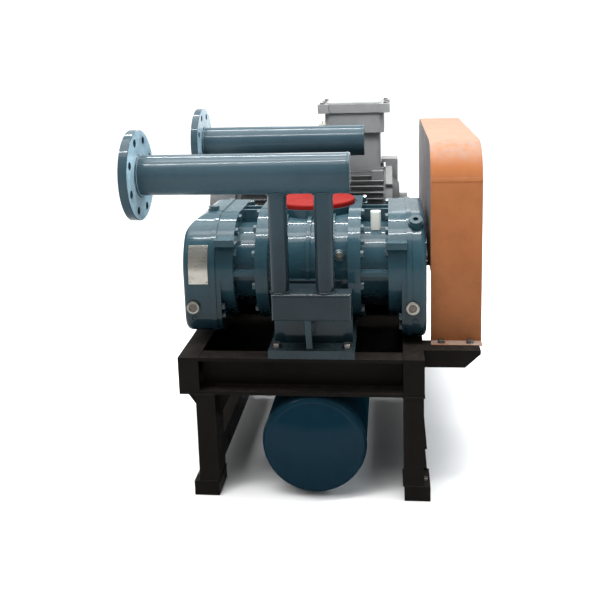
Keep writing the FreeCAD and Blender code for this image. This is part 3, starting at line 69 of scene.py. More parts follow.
# ------------------------------------------------------------------ materials
class Mat:
    def __init__(self, name):
        self.m = bpy.data.materials.new(name)
        self.m.use_nodes = True
        self.nt = self.m.node_tree
        self.nt.nodes.clear()
        self.out = self.node("ShaderNodeOutputMaterial")
        self.b = self.node("ShaderNodeBsdfPrincipled")
        self.link(self.b.outputs[0], self.out.inputs[0])
        self.co = self.node("ShaderNodeTexCoord").outputs["Object"]

    def node(self, kind, **kw):
        n = self.nt.nodes.new(kind)
        for k, v in kw.items():
            setattr(n, k, v)
        return n

    def link(self, a, b):
        self.nt.links.new(a, b)

    def set(self, **kw):
        for k, v in kw.items():
            self.b.inputs[k.replace("_", " ")].default_value = v

    def mapped(self, scale=(1, 1, 1), rot=(0, 0, 0)):
        n = self.node("ShaderNodeMapping")
        n.inputs["Scale"].default_value = scale
        n.inputs["Rotation"].default_value = rot
        self.link(self.co, n.inputs["Vector"])
        return n.outputs[0]

    def noise(self, scale, detail=3.0, rough=0.5, dist=0.0, co=None):
        n = self.node("ShaderNodeTexNoise")
        n.inputs["Scale"].default_value = scale
        n.inputs["Detail"].default_value = detail
        n.inputs["Roughness"].default_value = rough
        n.inputs["Distortion"].default_value = dist
        self.link(co or self.co, n.inputs["Vector"])
        return n.outputs["Fac"]

    def voronoi(self, scale, feature="F1", co=None):
        n = self.node("ShaderNodeTexVoronoi", feature=feature)
        n.inputs["Scale"].default_value = scale
        self.link(co or self.co, n.inputs["Vector"])
        return n.outputs["Distance"]

    def mapr(self, fac, a, b, c, d, smooth=False):
        n = self.node("ShaderNodeMapRange")
        n.interpolation_type = "SMOOTHSTEP" if smooth else "LINEAR"
        for k, v in (("From Min", a), ("From Max", b), ("To Min", c), ("To Max", d)):
            n.inputs[k].default_value = v
        self.link(fac, n.inputs["Value"])
        return n.outputs["Result"]

    def math(self, op, a, b=None):
        n = self.node("ShaderNodeMath", operation=op)
        for i, v in enumerate((a, b)):
            if v is None:
                continue
            if isinstance(v, (int, float)):
                n.inputs[i].default_value = v
            else:
                self.link(v, n.inputs[i])
        return n.outputs[0]

    def mix(self, fac, a, b, blend="MIX"):
        n = self.node("ShaderNodeMix", data_type="RGBA", blend_type=blend)
        for i, v in ((0, fac), (6, a), (7, b)):
            if isinstance(v, (int, float)):
                n.inputs[i].default_value = v
            elif isinstance(v, (tuple, list)):
                n.inputs[i].default_value = (*v[:3], 1.0)
            else:
                self.link(v, n.inputs[i])
        return n.outputs[2]

    def up(self):
        """1 on faces that look up, 0 on walls and undersides."""
        g = self.node("ShaderNodeNewGeometry")
        s = self.node("ShaderNodeSeparateXYZ")
        self.link(g.outputs["Normal"], s.inputs[0])
        return self.mapr(s.outputs[2], 0.35, 0.95, 0.0, 1.0, True)

    def height(self, lo, hi):
        """0 at height lo, 1 at height hi, in metres."""
        s = self.node("ShaderNodeSeparateXYZ")
        self.link(self.co, s.inputs[0])
        return self.mapr(s.outputs[2], lo, hi, 0.0, 1.0, True)

    def bevel(self, r):
        n = self.node("ShaderNodeBevel", samples=4)
        n.inputs["Radius"].default_value = r
        return n.outputs[0]

    def edge(self, r):
        """1 along hard edges, 0 elsewhere."""
        g = self.node("ShaderNodeNewGeometry")
        d = self.node("ShaderNodeVectorMath", operation="DOT_PRODUCT")
        self.link(self.bevel(r), d.inputs[0])
        self.link(g.outputs["Normal"], d.inputs[1])
        return self.mapr(d.outputs["Value"], 0.995, 0.86, 0.0, 1.0, True)

    def bump(self, height, strength, dist, normal=None):
        n = self.node("ShaderNodeBump")
        n.inputs["Strength"].default_value = strength
        n.inputs["Distance"].default_value = dist
        self.link(height, n.inputs["Height"])
        if normal is not None:
            self.link(normal, n.inputs["Normal"])
        return n.outputs[0]


def enamel(name, dark, light, rough=(0.25, 0.42), cast=0.0, peel=0.12, dust=0.25, dust_col=(0.22, 0.21, 0.19),
           chip=0.35, chip_col=(0.16, 0.14, 0.12), coat=0.25, spec=0.5, round_r=0.0012, grime_and_low_shade=0.0, wave=0.8, painted_shade_by_height=None, faces=None,
           dull_up=0.0, dull_down=0.0, heads=False):
    """Brushed or sprayed machine enamel: cloudy colour, orange peel, cast grain under it, dust on ledges, worn edges."""
    m = Mat(name)
    big = m.noise(2.3, 4.0, 0.6)
    mid = m.noise(17.0, 5.0, 0.65, 0.4)
    fine = m.noise(260.0, 3.0, 0.6)
    col = m.mix(m.mapr(big, 0.32, 0.68, 0.0, 1.0), dark, light)
    col = m.mix(m.mapr(mid, 0.45, 0.75, 0.0, 0.30), col, tuple(c * 0.55 for c in dark))
    if grime_and_low_shade > 0:
        # partly painted shade, partly grime: darker below 0.52 m and darkest below 0.36 m, in patches, where the lower
        # parts fall into shade
        low = m.math("SUBTRACT", 1.0, m.height(0.36, 0.52))
        col = m.mix(m.math("MULTIPLY", low, m.mapr(mid, 0.3, 0.7, grime_and_low_shade * 0.4, grime_and_low_shade)), col, tuple(c * 0.4 for c in dark))
    if painted_shade_by_height:
        # painted shade: darker towards the floor, where the lower parts fall into shade; the tuple is low height, high
        # height, remaining part
        low = m.math("SUBTRACT", 1.0, m.height(painted_shade_by_height[0], painted_shade_by_height[1]))
        low = m.math("MULTIPLY", low, m.mapr(mid, 0.2, 0.8, (1.0 - painted_shade_by_height[2]) * 0.92, (1.0 - painted_shade_by_height[2]) * 1.04))
        col = m.mix(low, col, tuple(c * 0.02 for c in dark))
    if faces:
        # painted reflection: paler colour on the flange faces that look along +X, standing in for the bright reflection
        # on them; faces is highest X, colour
        g = m.node("ShaderNodeNewGeometry")
        sn = m.node("ShaderNodeSeparateXYZ")
        sp = m.node("ShaderNodeSeparateXYZ")
        m.link(g.outputs["Normal"], sn.inputs[0])
        m.link(m.co, sp.inputs[0])
        here = m.math("MULTIPLY", m.mapr(sn.outputs[0], 0.90, 0.98, 0.0, 1.0), m.mapr(sp.outputs[0], faces[0], faces[0] + 0.001, 1.0, 0.0))
        here = m.math("MULTIPLY", here, m.mapr(m.noise(28.0, 4.0, 0.6), 0.25, 0.6, 0.55, 1.0))
        col = m.mix(here, col, faces[1])
    top = m.up()
    dfac = m.math("MULTIPLY", top, m.mapr(m.noise(55.0, 6.0, 0.7), 0.35, 0.75, dust * 0.2, dust))
    col = m.mix(dfac, col, dust_col)
    wear = m.edge(0.0016)
    scr = m.noise(75.0, 5.0, 0.75)
    wfac = m.math("MULTIPLY", wear, m.mapr(scr, 0.52, 0.62, 0.0, chip))
    col = m.mix(wfac, col, chip_col)
    m.link(col, m.b.inputs["Base Color"])
    r = m.mapr(mid, 0.3, 0.7, rough[0], rough[1])
    r = m.math("ADD", r, m.math("MULTIPLY", dfac, 0.6))
    m.link(r, m.b.inputs["Roughness"])
    n = m.bevel(round_r)
    if cast > 0:
        n = m.bump(m.noise(95.0, 6.0, 0.62), cast, 0.0016, n)
        n = m.bump(m.noise(420.0, 3.0, 0.5), cast * 0.5, 0.0006, n)
    n = m.bump(fine, peel, 0.0004, n)
    n = m.bump(m.noise(11.0, 2.0, 0.5), peel * wave, 0.004, n)
    m.link(n, m.b.inputs["Normal"])
    m.set(Coat_Weight=coat, Coat_Roughness=0.08, Coat_IOR=1.25, Specular_IOR_Level=spec)
    if dull_up or dull_down or heads:
        # the gloss is lost under dust on ledges and under oily dirt on undersides
        g = m.node("ShaderNodeNewGeometry")
        sn = m.node("ShaderNodeSeparateXYZ")
        m.link(g.outputs["Normal"], sn.inputs[0])
        w = m.math("MULTIPLY", m.mapr(sn.outputs[2], 0.90, 0.99, coat, coat * (1.0 - dull_up)), m.mapr(sn.outputs[2], -0.75, 0.15, 1.0 - dull_down, 1.0, True))
        if heads:
            # only the dished heads are polished, the barrel is dull
            w = m.math("MULTIPLY", w, m.mapr(m.math("ABSOLUTE", sn.outputs[1]), 0.12, 0.45, 0.0, 1.0, True))
        m.link(w, m.b.inputs["Coat Weight"])
    return m.m


def metal(name, dark, light, rough=(0.22, 0.4), line=(1, 1, 1), metallic=1.0, grime_and_low_shade=0.3, grime_col=(0.05, 0.045, 0.04), bump=0.08,
          round_r=0.0006):
    """Bare or plated metal with turning or rolling marks and dirt in patches."""
    m = Mat(name)
    a = m.noise(14.0, 4.0, 0.6)
    b = m.noise(180.0, 4.0, 0.7, 0.0, m.mapped(line))
    col = m.mix(m.mapr(a, 0.3, 0.7, 0.0, 1.0), dark, light)
    g = m.mapr(m.noise(34.0, 6.0, 0.75), 0.5, 0.72, 0.0, grime_and_low_shade)
    col = m.mix(g, col, grime_col)
    m.link(col, m.b.inputs["Base Color"])
    r = m.math("ADD", m.mapr(b, 0.3, 0.7, rough[0], rough[1]), m.math("MULTIPLY", g, 0.35))
    m.link(r, m.b.inputs["Roughness"])
    m.link(m.bump(b, bump, 0.0005, m.bevel(round_r)), m.b.inputs["Normal"])
    m.set(Metallic=metallic)
    return m.m


def plastic(name, dark, light, rough=(0.35, 0.55), grain=0.15, scale=300.0, dust=0.2, spec=0.5, subsurface=0.0, round_r=0.001):
    m = Mat(name)
    a = m.noise(6.0, 3.0, 0.5)
    col = m.mix(m.mapr(a, 0.35, 0.65, 0.0, 1.0), dark, light)
    d = m.math("MULTIPLY", m.up(), m.mapr(m.noise(40.0, 6.0, 0.7), 0.35, 0.7, 0.0, dust))
    col = m.mix(d, col, (0.35, 0.33, 0.30))
    m.link(col, m.b.inputs["Base Color"])
    m.link(m.mapr(m.noise(25.0, 4.0), 0.3, 0.7, rough[0], rough[1]), m.b.inputs["Roughness"])
    m.link(m.bump(m.noise(scale, 3.0, 0.6), grain, 0.0004, m.bevel(round_r)), m.b.inputs["Normal"])
    m.set(Specular_IOR_Level=spec)
    return m.m


MATS = {}
# painted shade: the height ranges given below darken the lower parts of the blower, its bolts and the pipes
MATS["blower_blue"] = enamel("enamel_blue_cast", (0.015, 0.043, 0.058), (0.026, 0.064, 0.082), (0.16, 0.32), cast=0.30, peel=0.14, dust=0.20,
                             dust_col=(0.12, 0.14, 0.14), coat=1.0, spec=0.06, grime_and_low_shade=0.4, painted_shade_by_height=(0.36, 0.57, 0.40), dull_up=0.6, dull_down=0.8)
MATS["blue_bolts"] = enamel("enamel_blue_bolts", (0.017, 0.047, 0.062), (0.036, 0.072, 0.090), (0.18, 0.34), cast=0.05, chip=0.6, coat=0.8, spec=0.15, dust=0.15, painted_shade_by_height=(0.36, 0.66, 0.55))
# painted reflection: the pipes' flange faces along +X are given a paler colour
MATS["pipe_blue"] = enamel("enamel_blue_pipe", (0.024, 0.048, 0.063), (0.034, 0.062, 0.078), (0.22, 0.34), cast=0.0, peel=0.08, dust=0.12,
                           dust_col=(0.12, 0.14, 0.14), coat=1.0, spec=0.04, chip=0.25, wave=0.35, painted_shade_by_height=(0.50, 0.80, 0.30), dull_up=0.5, dull_down=0.95,
                           faces=(-0.362, (0.30, 0.44, 0.52)))
# painted shade: this blue is set far darker than the blower's, standing in for the shade the silencer sits in under the
# frame
MATS["silencer_blue"] = enamel("enamel_blue_silencer", (0.0026, 0.015, 0.025), (0.0044, 0.020, 0.032), (0.26, 0.38), cast=0.0, peel=0.12, dust=0.12,
                               dust_col=(0.03, 0.045, 0.05), coat=0.30, spec=0.0, wave=0.5, dull_down=0.9, heads=True)
MATS["frame_black"] = enamel("enamel_black_frame", (0.0040, 0.0034, 0.0030), (0.0072, 0.0060, 0.0052), (0.36, 0.55), cast=0.10, peel=0.2, dust=0.50,
                             dust_col=(0.036, 0.031, 0.027), chip=0.40, chip_col=(0.06, 0.04, 0.025), coat=0.0, spec=0.03)
# painted shade: the guard is darkened towards its bottom by its height range
MATS["guard_orange"] = enamel("enamel_orange_guard", (0.31, 0.112, 0.042), (0.365, 0.140, 0.058), (0.36, 0.50), cast=0.0, peel=0.10, dust=1.0,
                              dust_col=(0.205, 0.198, 0.180), chip=0.2, chip_col=(0.30, 0.20, 0.14), coat=0.08, spec=0.03,
                              painted_shade_by_height=(0.34, 0.78, 0.60), dull_up=0.9, dull_down=0.0)
MATS["guard_grey"] = enamel("primer_grey_guard", (0.125, 0.112, 0.118), (0.160, 0.145, 0.150), (0.42, 0.55), cast=0.0, peel=0.10, coat=0.0, spec=0.15)
# painted shade: the motor is darkened towards its bottom by its height range
MATS["motor_grey"] = enamel("enamel_grey_motor", (0.215, 0.222, 0.224), (0.275, 0.280, 0.280), (0.34, 0.50), cast=0.22, peel=0.12, dust=0.25, coat=0.08, spec=0.25, painted_shade_by_height=(0.50, 0.66, 0.10))
MATS["bolt_steel"] = metal("steel_zinc_bolts", (0.13, 0.125, 0.12), (0.24, 0.235, 0.225), (0.28, 0.45), grime_and_low_shade=0.85, grime_col=(0.02, 0.02, 0.02))
MATS["cast_rotor"] = metal("iron_machined_rotor", (0.22, 0.22, 0.23), (0.36, 0.36, 0.37), (0.25, 0.4), (0.1, 1, 1), grime_and_low_shade=0.2)
MATS["gear_steel"] = metal("steel_ground_gear", (0.40, 0.40, 0.42), (0.56, 0.56, 0.58), (0.16, 0.3), (0.1, 1, 1), grime_and_low_shade=0.2)
MATS["bearing_steel"] = metal("steel_polished_bearing", (0.58, 0.58, 0.60), (0.70, 0.70, 0.72), (0.10, 0.2), (0.1, 1, 1), grime_and_low_shade=0.1)
MATS["pulley_iron"] = metal("iron_phosphated_pulley", (0.075, 0.075, 0.080), (0.14, 0.14, 0.145), (0.35, 0.5), (0.1, 1, 1), grime_and_low_shade=0.4)
MATS["belt_rubber"] = plastic("rubber_belt", (0.012, 0.012, 0.012), (0.022, 0.021, 0.020), (0.55, 0.75), 0.3, 900.0, 0.15, 0.3)
MATS["seal_rubber"] = plastic("rubber_seal", (0.016, 0.012, 0.012), (0.028, 0.022, 0.022), (0.45, 0.6), 0.1, 500.0, 0.1, 0.4)
MATS["cap_red"] = plastic("plastic_red_cover", (0.165, 0.008, 0.0065), (0.190, 0.011, 0.009), (0.48, 0.60), 0.10, 350.0, 0.02, 0.03, round_r=0.002)
MATS["nickel_trim"] = metal("nickel_turned", (0.15, 0.148, 0.13), (0.30, 0.29, 0.255), (0.26, 0.42), (1, 1, 1), grime_and_low_shade=0.55)
MATS["breather_white"] = plastic("plastic_white_breather", (0.52, 0.54, 0.50), (0.64, 0.66, 0.62), (0.30, 0.45), 0.08, 260.0, 0.1)
MATS["plate_metal"] = metal("aluminium_blank_plate", (0.30, 0.29, 0.26), (0.46, 0.44, 0.39), (0.24, 0.38), (0.05, 1, 1), grime_and_low_shade=0.35)
MATS["fan_plastic"] = plastic("plastic_black_fan", (0.014, 0.014, 0.014), (0.024, 0.024, 0.024))
MATS["stator_iron"] = metal("copper_windings", (0.42, 0.20, 0.09), (0.56, 0.30, 0.15), (0.3, 0.5), grime_and_low_shade=0.3)
MATS["silencer_inner"] = metal("steel_perforated", (0.40, 0.40, 0.41), (0.54, 0.54, 0.55), (0.3, 0.5), grime_and_low_shade=0.3)


def glass_mat():
    m = Mat("glass_sight_oil")
    a = m.noise(60.0, 3.0)
    m.link(m.mix(m.mapr(a, 0.3, 0.7, 0.0, 1.0), (0.030, 0.016, 0.008), (0.085, 0.050, 0.024)), m.b.inputs["Base Color"])
    m.link(m.mapr(a, 0.3, 0.7, 0.04, 0.10), m.b.inputs["Roughness"])
    m.set(Transmission_Weight=0.15, IOR=1.45, Coat_Weight=0.4, Coat_Roughness=0.03)
    return m.m


MATS["lens_glass"] = glass_mat()

for sub in frame["record"]["subparts"]:
    ob = NODES.get(sub["node"])
    mat = MATS[sub["material_slot"]]
    if not ob.material_slots:
        ob.data.materials.append(mat)
    for s in ob.material_slots:
        s.material = mat


# ------------------------------------------------------------------ floor, world, lights
def floor():
    bm = bmesh.new()
    bmesh.ops.create_circle(bm, cap_ends=True, segments=96, radius=40.0)
    me = bpy.data.meshes.new("studio_floor")
    bm.to_mesh(me)
    bm.free()
    ob = bpy.data.objects.new("studio_floor", me)
    bpy.context.scene.collection.objects.link(ob)
    ob.location.z = -0.0004
    m = Mat("floor_pale")
    a = m.noise(1.3, 4.0, 0.6)
    m.link(m.mix(m.mapr(a, 0.3, 0.7, 0.0, 1.0), (0.80, 0.80, 0.80), (0.83, 0.83, 0.83)), m.b.inputs["Base Color"])
    m.link(m.mapr(m.noise(60.0, 5.0), 0.3, 0.7, 0.50, 0.62), m.b.inputs["Roughness"])
    m.set(Specular_IOR_Level=0.2)
    me.materials.append(m.m)


floor()


def area(name, loc, target, w, h, power, col=(1, 1, 1)):
    L = bpy.data.lights.new(name, "AREA")
    L.shape, L.size, L.size_y, L.energy, L.color = "RECTANGLE", w, h, power, col
    ob = bpy.data.objects.new(name, L)
    bpy.context.scene.collection.objects.link(ob)
    ob.location = loc
    ob.rotation_mode = "QUATERNION"
    ob.rotation_quaternion = (Vector(target) - Vector(loc)).to_track_quat("-Z", "Y")


def sun(name, target_dir, power, angle):
    L = bpy.data.lights.new(name, "SUN")
    L.energy, L.angle = power, angle
    ob = bpy.data.objects.new(name, L)
    bpy.context.scene.collection.objects.link(ob)
    ob.rotation_mode = "QUATERNION"
    ob.rotation_quaternion = Vector(target_dir).to_track_quat("-Z", "Y")


sun("light_sun", (0.22, 0.10, -1.0), 2.9, math.radians(55.0))
area("light_strip_front", (0.10, -0.75, 2.3), (0.0, -0.45, 0.6), 2.4, 0.05, 34.0)
area("light_strip_rear", (0.10, 0.55, 2.4), (0.0, 0.15, 0.6), 2.6, 0.06, 46.0)
area("light_key", (-1.9, -2.3, 2.6), (0.0, 0.0, 0.5), 0.9, 0.7, 15.0, (1.0, 0.985, 0.96))
area("light_fill", (2.6, -2.3, 1.7), (0.1, 0.0, 0.5), 1.0, 1.4, 7.0, (0.95, 0.98, 1.0))
area("light_side", (2.3, 0.5, 1.9), (-0.38, -0.35, 0.78), 0.9, 0.9, 26.0, (0.82, 0.93, 1.0))
area("light_back", (0.5, 3.2, 2.4), (0.0, 0.2, 0.5), 2.4, 1.0, 26.0)
area("light_gap", (0.0, -0.42, 1.55), (-0.05, 0.25, 0.80), 1.1, 0.18, 5.0)

w = bpy.data.worlds.new("studio")
w.use_nodes = True
bpy.context.scene.world = w
wn = w.node_tree
wn.nodes.clear()
wo = wn.nodes.new("ShaderNodeOutputWorld")
wb = wn.nodes.new("ShaderNodeBackground")
wt = wn.nodes.new("ShaderNodeTexCoord")
ws = wn.nodes.new("ShaderNodeSeparateXYZ")
wr = wn.nodes.new("ShaderNodeValToRGB")
wy = wn.nodes.new("ShaderNodeValToRGB")
wm = wn.nodes.new("ShaderNodeMix")
wm.data_type = "RGBA"
wn.links.new(wt.outputs["Generated"], ws.inputs[0])
wn.links.new(ws.outputs[1], wy.inputs[0])
wn.links.new(ws.outputs[2], wr.inputs[0])
wn.links.new(wy.outputs[0], wm.inputs[0])
wn.links.new(wr.outputs[0], wm.inputs[6])
wm.inputs[7].default_value = (1.12, 1.12, 1.12, 1)
wn.links.new(wm.outputs[2], wb.inputs[0])
wn.links.new(wb.outputs[0], wo.inputs[0])
# bright behind the object, dim in front of it and overhead
wy.color_ramp.elements[0].position = 0.45
wy.color_ramp.elements[0].color = (0, 0, 0, 1)
wy.color_ramp.elements[1].position = 0.80
wy.color_ramp.elements[1].color = (1, 1, 1, 1)
wr.color_ramp.elements[0].position = 0.0
wr.color_ramp.elements[0].color = (0.20, 0.20, 0.20, 1)
wr.color_ramp.elements[1].position = 0.8
wr.color_ramp.elements[1].color = (0.55, 0.56, 0.57, 1)
wb.inputs[1].default_value = 1.0
bpy.context.scene.view_settings.view_transform = "Standard"
bpy.context.scene.view_settings.look = "None"

# ------------------------------------------------------------------ welds, plugs, screws and marks
def finish_piece(name, bm, slot_name, body="package", smooth=True):
    bmesh.ops.remove_doubles(bm, verts=bm.verts, dist=1e-6)
    bmesh.ops.recalc_face_normals(bm, faces=bm.faces)
    me = bpy.data.meshes.new(name)
    bm.to_mesh(me)
    bm.free()
    for f in me.polygons:
        f.use_smooth = smooth
    me.materials.append(MATS[slot_name])
    ob = bpy.data.objects.new(name, me)
    bpy.context.scene.collection.objects.link(ob)
    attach(ob, body)
    return ob


def bead(bm, pts, r, closed=False, seg=8, pitch=0.0045, ripple=0.16, seed=0.0):
    """A weld bead along a line of points (metres), with the overlapping scales of a hand-laid weld."""
    n = len(pts)
    tang = []
    for i in range(n):
        a = pts[(i - 1) % n] if closed or i else pts[0]
        b = pts[(i + 1) % n] if closed or i < n - 1 else pts[-1]
        tang.append((b - a).normalized())
    nrm = tang[0].orthogonal().normalized()
    rows, s = [], 0.0
    for i in range(n):
        if i:
            s += (pts[i] - pts[i - 1]).length
            nrm = (nrm - tang[i] * nrm.dot(tang[i])).normalized()
        bi = tang[i].cross(nrm)
        ph = (s / pitch) % 1.0
        k = 1.0 + ripple * (1.0 - ph) * (0.6 + 0.8 * abs(noise.noise(Vector((s * 60.0, seed, 0.3)))))
        k *= 0.94 + 0.12 * noise.noise(Vector((s * 25.0, seed + 3.1, 0.7)))
        if not closed and i in (0, n - 1):
            k *= 0.45
        rows.append([bm.verts.new(pts[i] + (nrm * math.cos(2 * math.pi * j / seg) + bi * math.sin(2 * math.pi * j / seg)) * r * k)
                     for j in range(seg)])
    m = n if closed else n - 1
    for i in range(m):
        a, b = rows[i], rows[(i + 1) % n]
        off = 0
        if closed and i == n - 1:
            # the frame may have turned on the way round: join each vertex to its nearest one
            off = min(range(seg), key=lambda o: sum((a[j].co - b[(j + o) % seg].co).length for j in range(seg)))
        for j in range(seg):
            bm.faces.new((a[j], a[(j + 1) % seg], b[(j + 1 + off) % seg], b[(j + off) % seg]))
    if not closed:
        bm.faces.new(rows[0])
        bm.faces.new(list(reversed(rows[-1])))


def ring(c, axis, r, step=1.1):
    """Points of a circle about X, Y or Z through layout point c, one every step millimetres."""
    n = int(2 * math.pi * r / step)
    out = []
    for i in range(n):
        t = 2 * math.pi * i / n
        u, v = r * math.cos(t), r * math.sin(t)
        d = {"X": (0, u, v), "Y": (u, 0, v), "Z": (u, v, 0)}[axis]
        out.append(R(c[0] + d[0], c[1] + d[1], c[2] + d[2]))
    return out


def line(a, b, step=1.1):
    a, b = Vector(a), Vector(b)
    n = max(4, int((b - a).length / step))
    return [R(*(a + (b - a) * (i / n))) for i in range(n + 1)]


MY, MZ, MR, BR = 321.0, 777.5, 44.5, 21.2
for side, s, xe in (("front", -1, 81.0), ("rear", 1, 92.0)):
    y = s * MY
    bm = bmesh.new()
    bead(bm, ring((-380.6, y, MZ), "X", MR + 1.0), 0.0032, True, seed=s)
    bead(bm, ring((xe - 6.0, y, MZ), "X", MR + 0.1), 0.0013, True, seed=s + 1)
    for bx in (-80.0, 21.0):
        pts = []
        n = 120
        for i in range(n):
            t = 2 * math.pi * i / n
            u, v = (BR + 0.8) * math.cos(t), (BR + 0.8) * math.sin(t)
            pts.append(R(bx + u, y + v, MZ - math.sqrt((MR + 0.6) ** 2 - v * v)))
        bead(bm, pts, 0.0030, True, seed=bx)
    finish_piece("weld_beads_%s_manifold" % side, bm, "pipe_blue")
    bm = bmesh.new()
    for bx in (-80.0, 21.0):
        bead(bm, ring((bx, y, 512.6), "Z", BR + 0.8), 0.0026, True, seed=bx + 7)
    # seams of the welded box along its upper edges
    y0, y1 = sorted((s * 299.0, s * 347.0))
    bead(bm, line((-98.0 + 1.2, y0 + 2, 511.2), (-98.0 + 1.2, y1 - 2, 511.2)), 0.0015, seed=2)
    bead(bm, line((79.0 - 1.2, y0 + 2, 511.2), (79.0 - 1.2, y1 - 2, 511.2)), 0.0015, seed=3)
    finish_piece("weld_beads_%s_port_box" % side, bm, "pipe_blue")

# silencer: head seams, neck and outlet
SIX, SIZ, SIR = -16.0, 133.0, 122.0
bm = bmesh.new()
for y in (-304.0 + 19.0, 560.0 - 19.0):
    bead(bm, ring((SIX, y, SIZ), "Y", SIR + 0.1), 0.0013, True, seed=y)
pts = []
for i in range(300):
    t = 2 * math.pi * i / 300
    u, v = 55.0 * math.cos(t), 55.0 * math.sin(t)
    pts.append(R(-30.0 + u, v, SIZ + math.sqrt((SIR + 0.8) ** 2 - (-30.0 + u - SIX) ** 2)))
bead(bm, pts, 0.0030, True, seed=11)
bead(bm, ring((-30.0, 0.0, 329.2), "Z", 55.0), 0.0028, True, seed=12)
bead(bm, ring((SIX, 578.5, SIZ), "Y", 54.8), 0.0034, True, seed=13)
bead(bm, ring((SIX, 695.2, SIZ), "Y", 54.8), 0.0030, True, seed=14)
bead(bm, line((SIX + 40.0, -284.0, SIZ - math.sqrt(SIR ** 2 - 1600.0) - 0.2), (SIX + 40.0, 540.0, SIZ - math.sqrt(SIR ** 2 - 1600.0) - 0.2), 1.4),
     0.0014, seed=15)
finish_piece("weld_beads_silencer", bm, "silencer_blue")

# frame: corner joints, leg tops, leg feet
bm = bmesh.new()
for x in (-281.0, 192.0):
    for y0, y1 in ((-304.0, -256.5), (644.5, 692.0)):
        bead(bm, line((x, y0, 346.0), (x, y1, 346.0)), 0.0015, seed=x + y0)
        bead(bm, line((x, y0, 256.0), (x, y1, 256.0)), 0.0015, seed=x + y0 + 1)
    for y in (-304.0, 692.0):
        bead(bm, line((x, y, 338.5), (x, y, 345.5)), 0.0013, seed=x + 2)
        bead(bm, line((x, y, 256.5), (x, y, 263.5)), 0.0013, seed=x + 3)
for lx in (-291.0, 192.0):
    for ly in (-304.0, 612.0):
        for z, r in ((256.0, 0.0024), (36.0, 0.0022)):
            d = -1.0 if z > 100 else 1.0
            for yy in (ly, ly + 80.0):
                o = (0.6 if yy > ly else -0.6)
                bead(bm, line((lx + 0.5, yy + (o if -300 < yy < 690 else 0.0), z + d * 0.6), (lx + 45.5, yy + (o if -300 < yy < 690 else 0.0), z + d * 0.6)), r, seed=lx + yy + z)
            for xx in (lx, lx + 46.0):
                o = 0.6 if xx > lx else -0.6
                bead(bm, line((xx + o, ly + 1.0, z + d * 0.6), (xx + o, ly + 79.0, z + d * 0.6)), r, seed=lx + xx + z)
finish_piece("weld_beads_frame", bm, "frame_black")


def along(c, d):
    """Matrix that puts local Z along direction d at layout point c, with local units in metres."""
    m = Vector(d).normalized().to_track_quat("Z", "X").to_matrix().to_4x4()
    m.translation = R(*c)
    return m


def turned(bm, mat, prof, seg=48):
    """Solid of revolution about local Z from (radius, height) pairs in millimetres."""
    rows = []
    for r, h in prof:
        if r < 1e-6:
            rows.append([bm.verts.new(mat @ Vector((0, 0, h / 1000.0)))])
        else:
            rows.append([bm.verts.new(mat @ Vector((r * math.cos(2 * math.pi * j / seg) / 1000.0, r * math.sin(2 * math.pi * j / seg) / 1000.0, h / 1000.0)))
                         for j in range(seg)])
    for a, b in zip(rows, rows[1:]):
        for j in range(seg):
            k = (j + 1) % seg
            if len(a) == 1:
                bm.faces.new((a[0], b[j], b[k]))
            elif len(b) == 1:
                bm.faces.new((a[j], b[0], a[k]))
            else:
                bm.faces.new((a[j], b[j], b[k], a[k]))


def prism(bm, mat, n, r, h0, h1, ch, rot=0.0):
    """Bolt head: n-sided prism with a turned chamfer on its outer end."""
    rows = []
    for h, k in ((h0, 1.0), (h1 - ch, 1.0), (h1, 1.0 - ch / r * 1.2)):
        rows.append([bm.verts.new(mat @ Vector((r * k * math.cos(2 * math.pi * j / n + rot) / 1000.0, r * k * math.sin(2 * math.pi * j / n + rot) / 1000.0, h / 1000.0)))
                     for j in range(n)])
    for a, b in zip(rows, rows[1:]):
        for j in range(n):
            bm.faces.new((a[j], a[(j + 1) % n], b[(j + 1) % n], b[j]))
    bm.faces.new(list(reversed(rows[0])))
    bm.faces.new(rows[-1])


# square-headed plug in a boss on the front of the casing barrel
a = math.radians(21.0)
d = Vector((0, -math.cos(a), math.sin(a)))
m = along(Vector((45.0, -78.0, 517.0)) + d * 118.5, d)
bm = bmesh.new()
turned(bm, m, [(0, 0), (15.5, 0), (15.0, 3.0), (13.8, 4.2), (0, 4.2)])
finish_piece("casing_plug_boss", bm, "blower_blue")
bm = bmesh.new()
turned(bm, m, [(0, 4.0), (9.5, 4.0), (9.5, 5.6), (9.0, 6.2), (0, 6.2)])
prism(bm, m, 4, 9.0, 6.0, 15.0, 1.2, math.radians(45))
finish_piece("casing_plug", bm, "nickel_trim", smooth=False)

# cover screws of the terminal box, screws of the fan cowl
bm = bmesh.new()
for x in (-40.0, 153.0):
    for y in (540.0 - 92.0, 540.0 + 92.0):
        m = along((x, y, 874.6), (0, 0, 1))
        turned(bm, m, [(0, 0), (8.0, 0), (8.0, 1.2), (0, 1.2)], 32)
        prism(bm, m, 6, 6.6, 1.0, 5.9, 0.9, 0.3)
finish_piece("terminal_cover_screws", bm, "bolt_steel", smooth=False)
bm = bmesh.new()
for k in range(4):
    t = math.radians(45 + 90 * k)
    d = Vector((0, math.cos(t), math.sin(t)))
    m = along(Vector((-322.0, 540.0, 530.0)) + d * 159.4, d)
    turned(bm, m, [(0, 0), (6.0, 0), (5.8, 1.6), (4.2, 3.0), (0, 3.4)], 28)
finish_piece("fan_cowl_screws", bm, "bolt_steel")

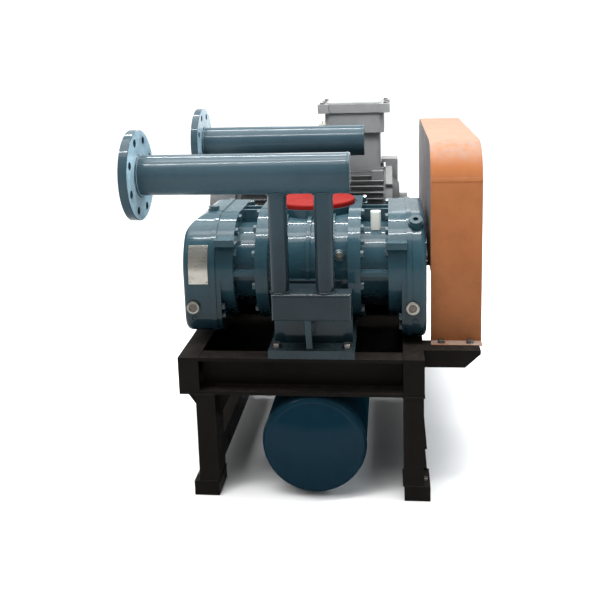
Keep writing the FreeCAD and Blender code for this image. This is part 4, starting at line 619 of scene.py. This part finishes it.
# rubber inserts in the cable glands
bm = bmesh.new()
for y in (488.0, 592.0):
    m = along((-50.5, y, 800.0), (-1, 0, 0))
    turned(bm, m, [(7.4, 0), (11.2, 0), (11.2, 1.8), (10.4, 2.8), (8.0, 2.8), (7.4, 2.2), (7.4, 0)], 40)
finish_piece("cable_gland_inserts", bm, "seal_rubber")

# cast ring marks under the sight glasses, left blank
bm = bmesh.new()
for x, z in ((-308.0, 409.0), (222.0, 405.0)):
    m = along((x, -207.4, z), (0, -1, 0))
    turned(bm, m, [(4.6, 0), (7.4, 0), (7.2, 1.3), (6.6, 1.7), (5.4, 1.7), (4.8, 1.3), (4.6, 0)], 40)
finish_piece("cast_ring_marks", bm, "blower_blue")

# rivets of the blank nameplate
bm = bmesh.new()
for x in (-312.5, -273.5):
    for z, t in ((500.0, None), (None, 28.5)):
        if t is None:
            c, d = Vector((x, -78.0 - 131.0, z)), Vector((0, -1, 0))
        else:
            d = Vector((0, -math.cos(math.radians(t)), math.sin(math.radians(t))))
            c = Vector((x, -78.0, 517.0)) + d * 131.0
        m = along(c, d)
        turned(bm, m, [(0, 0), (2.0, 0), (1.8, 0.8), (1.1, 1.3), (0, 1.45)], 20)
finish_piece("nameplate_rivets", bm, "bolt_steel")

# cover strip over the joint of the guard's front sheet and its rolled corner
bm = bmesh.new()
GX0, GX1, GY0, GZ1, GR = 259.6, 377.4, -178.0, 819.0, 95.0


def strip(bm, x0, x1, c, up, out, w, t):
    """Flat strip with rolled long edges; c middle, up along its width, out away from the sheet (layout mm)."""
    prof = [(-w / 2, -0.2), (-w / 2, t * 0.5), (-w / 2 + t * 0.6, t), (w / 2 - t * 0.6, t), (w / 2, t * 0.5), (w / 2, -0.2)]
    rows = []
    for x in (x0, x1):
        rows.append([bm.verts.new(R(x, c[1] + up[1] * u + out[1] * v, c[2] + up[2] * u + out[2] * v)) for u, v in prof])
    n = len(prof)
    for j in range(n):
        bm.faces.new((rows[0][j], rows[0][(j + 1) % n], rows[1][(j + 1) % n], rows[1][j]))
    bm.faces.new(rows[0])
    bm.faces.new(list(reversed(rows[1])))


strip(bm, GX0, GX1, (0, GY0 + 0.75, 736.0), (0, 0.126, 0.992), (0, -0.992, 0.126), 9.0, 1.0)
finish_piece("guard_joint_strip", bm, "guard_orange", smooth=False)
